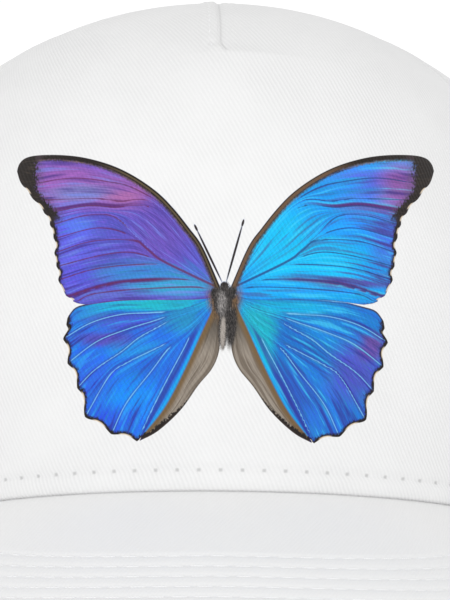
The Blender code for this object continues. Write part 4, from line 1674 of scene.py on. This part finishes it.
@dataclass
class Visor:
    """The stiff curved visor, quilted by rows of stitches along its outer edge."""

    thick: float = 2.6
    tuck: float = 1.0
    half_width: float = 88.0
    widest_y: float = -88.0
    reach: float = 78.8
    back: float = 96.0
    squareness: float = 2.2
    inner_end: float = math.radians(63.0)
    outer_end: float = math.radians(116.6)
    first_row: float = 6.8
    row_pitch: float = 4.7
    rows: int = 8
    quilt_depth: float = 0.3
    row_stitch: Stitch = Stitch(pitch=5.0, share=0.78, radius=0.26, sink=0.02)

    def ends(self, u: Array) -> tuple[Array, Array]:
        """The outer and inner ends, in plan, of the line at each share along the visor.

        Args:
            u: Shares along the visor.

        Returns:
            The outer and the inner ends.
        """
        s = 2 * u - 1
        theta = self.outer_end * s
        ahead = np.cos(theta)
        power = 2 / self.squareness
        front_x = np.sign(theta) * self.half_width * np.abs(np.sin(theta)) ** power
        front_y = self.widest_y - self.reach * np.maximum(ahead, 0) ** power
        x = np.where(ahead > 0, front_x, self.half_width * np.sin(theta))
        y = np.where(ahead > 0, front_y, self.widest_y - self.back * ahead)
        phi = self.inner_end * s
        inner = np.stack(((CROWN.half_width - self.tuck) * np.sin(phi),
                          -(CROWN.half_length - self.tuck) * np.cos(phi)), axis=-1)
        return np.stack((x, y), axis=-1), inner

    def place(self, u: Array, v: Array) -> Array:
        """Points of the top, from the outer edge (v = 0) to the inner one."""
        outer, inner = self.ends(u)
        plan = outer + (inner - outer) * v[:, None]
        return np.stack((plan[:, 0], plan[:, 1], CROWN.visor_height(plan[:, 0], plan[:, 1])), axis=-1)

    def quilt(self, distance: Array) -> Array:
        """The relief of the stitched rows at a distance from the outer edge.

        Args:
            distance: Distances from the edge.

        Returns:
            The relief, in millimetres.
        """
        wave = np.cos((distance - self.first_row) / self.row_pitch * math.tau)
        last = self.first_row + self.row_pitch * (self.rows - 1)
        grow = smooth(self.first_row - 3.0, self.first_row, distance)
        fade = smooth(last, last + 2.2, distance)
        return -(0.5 + 0.5 * wave) ** 3 * self.quilt_depth * grow * (1 - fade)

    def build(self, twill: Material, thread: Material) -> None:
        """Makes the visor and its stitches on both faces.

        Args:
            twill: The cloth's material.
            thread: The thread's material.
        """
        middle = np.linspace(-1, 1, 241)
        along = (middle * 0.9 + 0.1 * middle ** 3 + 1) / 2
        up = stops((0, 1.3, 9), (1.3, 5, 5), (5, 44, 88), (44, 71, 16))
        sheet = Sheet(self.place, along, up)
        edge = np.clip(sheet.up_mm / (self.thick / 2), 0, 1)
        rounding = -(self.thick / 2) * (1 - np.sqrt(1 - (1 - edge) ** 2))
        top = self.quilt(sheet.up_mm) + rounding
        sheet.relief = top
        upper = sheet.points()
        lower = sheet.base - sheet.normal * (self.thick + top)[..., None]
        obj = self.join(sheet, upper, lower)
        dress(obj, "visor_twill", twill, "visor")
        rows = []
        for row in range(self.rows):
            for points, sign in ((upper, 1.0), (lower, -1.0)):
                spots, normals = sheet.line_up(points, self.first_row + row * self.row_pitch, room=4.0)
                rows.append((self.row_stitch, spots, sign * normals))
        stitched("visor_stitches", "visor_twill", thread, rows)

    def join(self, sheet: Sheet, upper: Array, lower: Array) -> bpy.types.Object:
        """Joins the upper and lower faces round their edges.

        Args:
            sheet: The sheet.
            upper: The upper face's points.
            lower: The lower face's points.

        Returns:
            The visor.
        """
        shape = bmesh.new()
        columns, rows = sheet.shape
        cloth = shape.loops.layers.uv.new("cloth")
        for points, below in ((upper, False), (lower, True)):
            grid = bmesh.ops.create_grid(shape, x_segments=columns - 1, y_segments=rows - 1, size=0.5)
            made = grid["verts"]
            placed = to_world(points.reshape(-1, 3)).reshape(columns, rows, 3)
            faces = {face for vert in made for face in vert.link_faces}
            for vert in made:
                column = round((vert.co.x + 0.5) * (columns - 1))
                row = round((vert.co.y + 0.5) * (rows - 1))
                vert.co = placed[column, row]
                for loop in vert.link_loops:
                    loop[cloth].uv = (sheet.along_mm[column, row], -sheet.up_mm[column, row])
            if below:
                bmesh.ops.reverse_faces(shape, faces=list(faces))
        bmesh.ops.bridge_loops(shape, edges=[edge for edge in shape.edges if edge.is_boundary])
        return finish_object("visor_cloth", shape)


@dataclass
class Inside:
    """The sweatband, the tapes over the seams and the open stiff cloth behind the front."""

    tape_width: float = 14.0
    tape_depth: float = 1.7
    tape_thick: float = 0.5
    tape_top_radius: float = 17.0
    stiffener_top: float = 0.84
    band_height: float = 32.0
    band_end: float = math.radians(143.0)
    band_depth: float = 2.6
    band_thick: float = 1.0
    arch_tape_width: float = 10.0

    def build(self, panels: Panels, finishes: dict[str, Material]) -> None:
        """Makes the inner pieces.

        Args:
            panels: The crown's panels.
            finishes: The materials by name.
        """
        rows = []
        stiffener = self.stiffener().make("front_stiffener_cloth", self.tape_thick)
        dress(stiffener, "buckram", finishes["buckram"], "front_stiffener")
        arch_top = float(CROWN.find_height(math.pi, panels.arch_height + self.arch_tape_width + 1.0))
        low = float(CROWN.find_height(CROWN.front_seam, 1.0))
        tapes = {
            "seam_tape_front_left": (CROWN.front_seam, low),
            "seam_tape_front_right": (-CROWN.front_seam, low),
            "seam_tape_side_left": (CROWN.side_seam, low),
            "seam_tape_side_right": (-CROWN.side_seam, low),
            "seam_tape_back": (math.pi, arch_top),
        }
        for name, (seam, start) in tapes.items():
            sheet = self.tape(seam, start)
            dress(sheet.make(f"{name}_cloth", self.tape_thick), "seam_tape", finishes["tape"], name)
            rows += self.inner_rows(sheet, (0.18, 0.82))
        arch = self.arch(panels).make("opening_tape_cloth", self.tape_thick)
        dress(arch, "seam_tape", finishes["tape"], "opening_tape")
        band = self.band().make("sweatband_cloth", self.band_thick)
        dress(band, "sweatband_cotton", finishes["cotton"], "sweatband")
        stitched("tape_stitches", "seam_tape", finishes["thread"], rows)

    def stiffener(self) -> Sheet:
        """Lays out the stiff cloth behind the front panel, between its two seam tapes.

        Returns:
            The sheet.
        """
        low = float(CROWN.find_height(0.0, 1.0))
        place = CROWN.between_seams(-CROWN.front_seam, CROWN.front_seam, self.tape_width / 2 + 0.6,
                                    self.tape_depth, low, lambda phi: np.full_like(phi, self.stiffener_top))
        sheet = Sheet(place, stops((0, 1, 90)), stops((0, 1, 60)))
        sheet.relief -= 0.05 * np.sin(sheet.along_mm / 7.0) * np.sin(sheet.up_mm / 9.0)
        return sheet

    def tape(self, seam: float, start: float) -> Sheet:
        """Lays out the tape over one seam.

        Args:
            seam: The seam's angle.
            start: The t at which it starts.

        Returns:
            The sheet.
        """
        def place(u: Array, v: Array) -> Array:
            around = np.full_like(v, seam)
            t = start + (CROWN.top_end(around, self.tape_top_radius) - start) * v
            phi = seam + (u - 0.5) * self.tape_width / CROWN.cloth_per_radian(around, t)
            return CROWN.under(phi, t, self.tape_depth)
        sheet = Sheet(place, stops((0, 1, 14)), stops((0, 1, 90)))
        edge = np.minimum(sheet.from_start, sheet.from_end)
        sheet.relief -= 0.12 * hump(edge, 1.0) - 0.08 * hump(edge - 2.5, 0.8)
        return sheet

    def inner_rows(self, sheet: Sheet,
                   shares: tuple[float, ...]) -> list[tuple[Stitch, Array, Array]]:
        """The rows of stitches along a tape, on its inner face.

        Args:
            sheet: The sheet.
            shares: Where the rows lie across it.

        Returns:
            The rows.
        """
        inner = sheet.points() - sheet.normal * self.tape_thick
        rows = []
        for share in shares:
            column = round(share * (sheet.shape[0] - 1))
            rows.append((Stitch(), inner[column], -sheet.normal[column]))
        return rows

    def arch(self, panels: Panels) -> Sheet:
        """Lays out the tape that binds the opening at the back.

        Args:
            panels: The crown's panels.

        Returns:
            The sheet.
        """
        low = math.radians(2.0)

        def place(u: Array, v: Array) -> Array:
            angle = math.pi - low - (math.pi - 2 * low) * u
            spread = self.arch_tape_width * (1 - v)
            x = (panels.arch_half_width + spread) * np.cos(angle)
            z = (panels.arch_height + spread) * np.sin(angle)
            phi, t = find_at_back(x, z)
            return CROWN.under(phi, t, self.tape_depth)
        return Sheet(place, stops((0, 1, 90)), stops((0, 1, 10)))

    def band(self) -> Sheet:
        """Lays out the sweatband, slightly rippled where it is sewn in.

        Returns:
            The sheet.
        """
        def place(u: Array, v: Array) -> Array:
            phi = self.band_end * (2 * u - 1)
            return CROWN.under(phi, CROWN.find_height(phi, self.band_height * v), self.band_depth)
        sheet = Sheet(place, stops((0, 1, 360)), stops((0, 4, 8), (4, 28, 12), (28, 32, 8)))
        ripple = np.sin(sheet.along_mm * 0.55 + 1.3 * np.sin(sheet.along_mm * 0.13))
        upper = smooth(4.0, 20.0, sheet.up_mm)
        sheet.relief += 0.16 * ripple * upper * (1 - smooth(28.0, 32.0, sheet.up_mm))
        sheet.relief -= 0.15 * hump(sheet.up_mm - 3.0, 0.6)
        return sheet


def seat_on_crown(phi: float, t: float) -> Matrix:
    """A frame on the crown's outside, in millimetres, whose Z points outwards."""
    spot, out = CROWN.point(phi, t), CROWN.normal(phi, t)
    return Matrix.Translation(spot) @ Vector(out).to_track_quat("Z", "Y").to_matrix().to_4x4()


def turned(name: str, profile: Sequence[Pair], steps: int, seat: Matrix,
           ribs: int = 0, rib_height: float = 0.0, closed: bool = True) -> bpy.types.Object:
    """Turns a profile round the seat's Z.

    Args:
        name: Name of the object.
        profile: Radius and height of each point, in millimetres.
        steps: Steps round the full turn.
        seat: The frame that it stands in.
        ribs: Number of radial ribs, or zero for a smooth piece.
        rib_height: Height of the ribs.
        closed: Whether the profile's last point joins its first.

    Returns:
        The object, with its plan in millimetres as its UV map.
    """
    shape = bmesh.new()
    verts = [shape.verts.new((radius, 0.0, height)) for radius, height in profile]
    pairs = list(zip(verts, verts[1:])) + ([(verts[-1], verts[0])] if closed else [])
    edges = [shape.edges.new(pair) for pair in pairs]
    bmesh.ops.spin(shape, geom=verts + edges, cent=(0, 0, 0), axis=(0, 0, 1), angle=math.tau,
                   steps=steps, use_merge=True)
    bmesh.ops.remove_doubles(shape, verts=shape.verts, dist=1e-4)
    bmesh.ops.recalc_face_normals(shape, faces=shape.faces)
    if ribs:
        shape.normal_update()
        lift = {vert: vert.normal * rib_height * math.cos(ribs * math.atan2(vert.co.y, vert.co.x))
                for vert in shape.verts}
        for vert, move in lift.items():
            vert.co += move
    cloth = shape.loops.layers.uv.new("cloth")
    for face in shape.faces:
        for loop in face.loops:
            loop[cloth].uv = loop.vert.co.xy
    bmesh.ops.transform(shape, matrix=REST @ seat, verts=shape.verts)
    return finish_object(name, shape)


@dataclass
class Trim:
    """The covered button on the top and the sewn eyelets."""

    radius: float = 8.0
    height: float = 3.6
    gap: float = 0.35
    stud: float = 1.7
    head: float = 4.0
    washer_top: float = -1.9
    washer: float = 0.8
    ribs: int = 38
    rib_height: float = 0.09
    eyelet_steps: int = 152

    def build(self, panels: Panels, twill: Material, thread: Material) -> None:
        """Makes the button and the four eyelets.

        Args:
            panels: The crown's panels.
            twill: The cloth's material.
            thread: The thread's material.
        """
        dome = [(self.radius * math.sin(a), self.gap + 0.8 + (self.height - 0.8) * math.cos(a))
                for a in np.radians(np.linspace(0.0, 90.0, 16))]
        dome[0] = (0.0, dome[0][1])
        head_top = self.washer_top - self.washer - self.gap
        foot = [(self.radius - 0.15, self.gap + 0.3), (self.radius - 0.6, self.gap), (self.stud, self.gap),
                (self.stud, head_top), (self.head - 0.3, head_top), (self.head, head_top - 0.25),
                (self.head - 0.4, head_top - 0.6), (0.0, head_top - 0.8)]
        up = Vector((0.0, CROWN.top_slope, 1.0)).normalized()
        seat = Matrix.Translation((0, 0, CROWN.top_height)) @ up.to_track_quat("Z", "Y").to_matrix().to_4x4()
        button = turned("button_cloth", dome + foot, 64, seat, closed=False)
        dress(button, "crown_twill", twill, "button")
        ring = [(1.5, 0.25), (1.7, 0.62), (2.3, 0.88), (3.1, 0.9), (3.9, 0.68), (4.35, 0.3), (4.3, 0.04),
                (2.3, 0.04), (2.3, -1.24), (4.2, -1.24), (4.0, -1.5), (3.2, -1.66), (2.3, -1.66), (1.7, -1.5),
                (1.5, -1.2), (1.5, -0.5)]
        for kind, (phi, t) in zip(("side", "back"), panels.eyelet_places):
            for side, sign in (("left", 1), ("right", -1)):
                name = f"eyelet_{kind}_{side}"
                seat = seat_on_crown(sign * phi, t)
                eyelet = turned(f"{name}_thread", ring, self.eyelet_steps, seat, self.ribs, self.rib_height)
                dress(eyelet, "eyelet_thread", thread, name)


@dataclass
class Strap:
    """The long strap through the slide and the short one sewn round its bar."""

    low: float = 3.0
    high: float = 21.0
    thick: float = 1.0
    turn: float = 30.0
    slide_y: float = 100.3
    slide_half_width: float = 9.5
    long_route: tuple[Pair, ...] = (
        (-54, -3.05), (-46, -3.05), (-41, -3.0), (-35, -2.3), (-27, -1.9), (-12, -1.9), (-6.6, -1.7),
        (-4.2, -0.4), (-2.9, 1.0), (-1.4, 1.65), (0, 1.7), (1.4, 1.6), (2.7, 0.7), (3.5, -0.9), (4.7, -2.6),
        (6.4, -3.3), (9, -3.45), (20, -3.5), (31, -3.8), (38, -4.6), (48, -4.7),
    )
    tab_route: tuple[Pair, ...] = (
        (29, -1.95), (20, -1.95), (9, -1.95), (7.6, -1.75), (6.6, -1.1), (6.2, -0.1), (6.5, 0.9), (7.4, 1.55),
        (9, 1.75), (14, 1.75), (20, 1.6), (26, 0.6), (31, -0.5), (36, -2.0), (41, -3.0), (46, -3.05),
        (54, -3.05),
    )

    def spot(self, way: float, offset: float, height: float) -> Array:
        """A point beside the hem's oval at the back, as in the CAD.

        Args:
            way: The way round from the back's middle.
            offset: The way out from the hem.
            height: The height.

        Returns:
            The point.
        """
        step, phi, gone = 0.2, math.pi, 0.0
        while gone < abs(way):
            phi -= step / float(CROWN.cloth_per_radian(phi, 0.0))
            gone += step
        phi = math.copysign(phi, way)
        hem = CROWN.hem(np.array(phi))
        if hem[1] > self.slide_y:
            return np.array((way, self.slide_y + offset, height))
        out = unit(np.array((hem[0] / CROWN.half_width ** 2, hem[1] / CROWN.half_length ** 2, 0.0)))
        wall = CROWN.point(phi, CROWN.find_height(phi, height)) - hem
        share = min(1.0, (abs(way) - self.slide_half_width) / self.turn)
        return hem + out * offset + np.array((wall[0] * share, wall[1] * share, height))

    def rail(self, route: Sequence[Pair], height: float, steps: int) -> Array:
        """Points along a smooth curve through a route, at one height."""
        return spline([self.spot(way, offset, height) for way, offset in route], steps)

    def build(self, twill: Material, thread: Material, steel: Material) -> None:
        """Makes both straps and their stitches, and gives the slide and the washer their steel.

        Args:
            twill: The cloth's material.
            thread: The thread's material.
            steel: The steel's material.
        """
        rows = []
        for name, route in (("strap_long", self.long_route), ("strap_tab", self.tab_route)):
            low, high = (self.rail(route, height, 8) for height in (self.low, self.high))
            columns = len(low) - 1

            def place(u: Array, v: Array, low: Array = low, high: Array = high,
                      columns: int = columns) -> Array:
                index = np.rint(u * columns).astype(int)
                return low[index] * (1 - v)[:, None] + high[index] * v[:, None]
            sheet = Sheet(place, stops((0, 1, columns)), stops((0, 1, 24)))
            obj = sheet.make(f"{name}_cloth", self.thick, offset=0.0)
            dress(obj, "strap_twill", twill, name)
            for row in (3, 21):
                for face in (1.0, -1.0):
                    line = sheet.points()[:, row] + sheet.normal[:, row] * face * self.thick / 2
                    rows.append((Stitch(radius=0.17), line[8:-8], face * sheet.normal[8:-8, row]))
        stitched("strap_stitches", "strap_twill", thread, rows)
        for node, slot in (("strap_slide", "slide_steel"), ("button_washer", "washer_steel")):
            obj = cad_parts[node]
            obj.data.materials.clear()
            obj.data.materials.append(steel)


def main() -> None:
    """Builds the cap's pieces and the studio around them."""
    logging.basicConfig(level=logging.INFO, format="%(name)s: %(message)s")
    CAMERA.build()
    Studio().build()
    sewn = Twill(hem_stitch=Panels.hem_stitch)
    crown_twill = sewn.material()
    finishes = {
        "thread": Thread().material(),
        "cotton": Twill(name="cotton_twill", line_pitch=0.8).material(),
        "tape": Webbing("tape_weave", (0.80, 0.805, 0.81)).material(),
        "buckram": Webbing("buckram_weave", (0.74, 0.74, 0.71), pitch=1.1, shade=0.6, depth=0.25).material(),
    }
    panels = Panels()
    panels.build(crown_twill, ButterflyInk().material(sewn), finishes["thread"])
    smooth_twill = Twill(name="visor_twill", colour=(0.757, 0.757, 0.757), shade=0.06, depth=0.03)
    Visor().build(smooth_twill.material(), finishes["thread"])
    Inside().build(panels, finishes)
    Trim().build(panels, Twill(name="button_twill").material(), finishes["thread"])
    Strap().build(Twill(name="strap_twill").material(), finishes["thread"], Steel().material())


if __name__ == "__main__":
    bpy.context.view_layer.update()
    main()
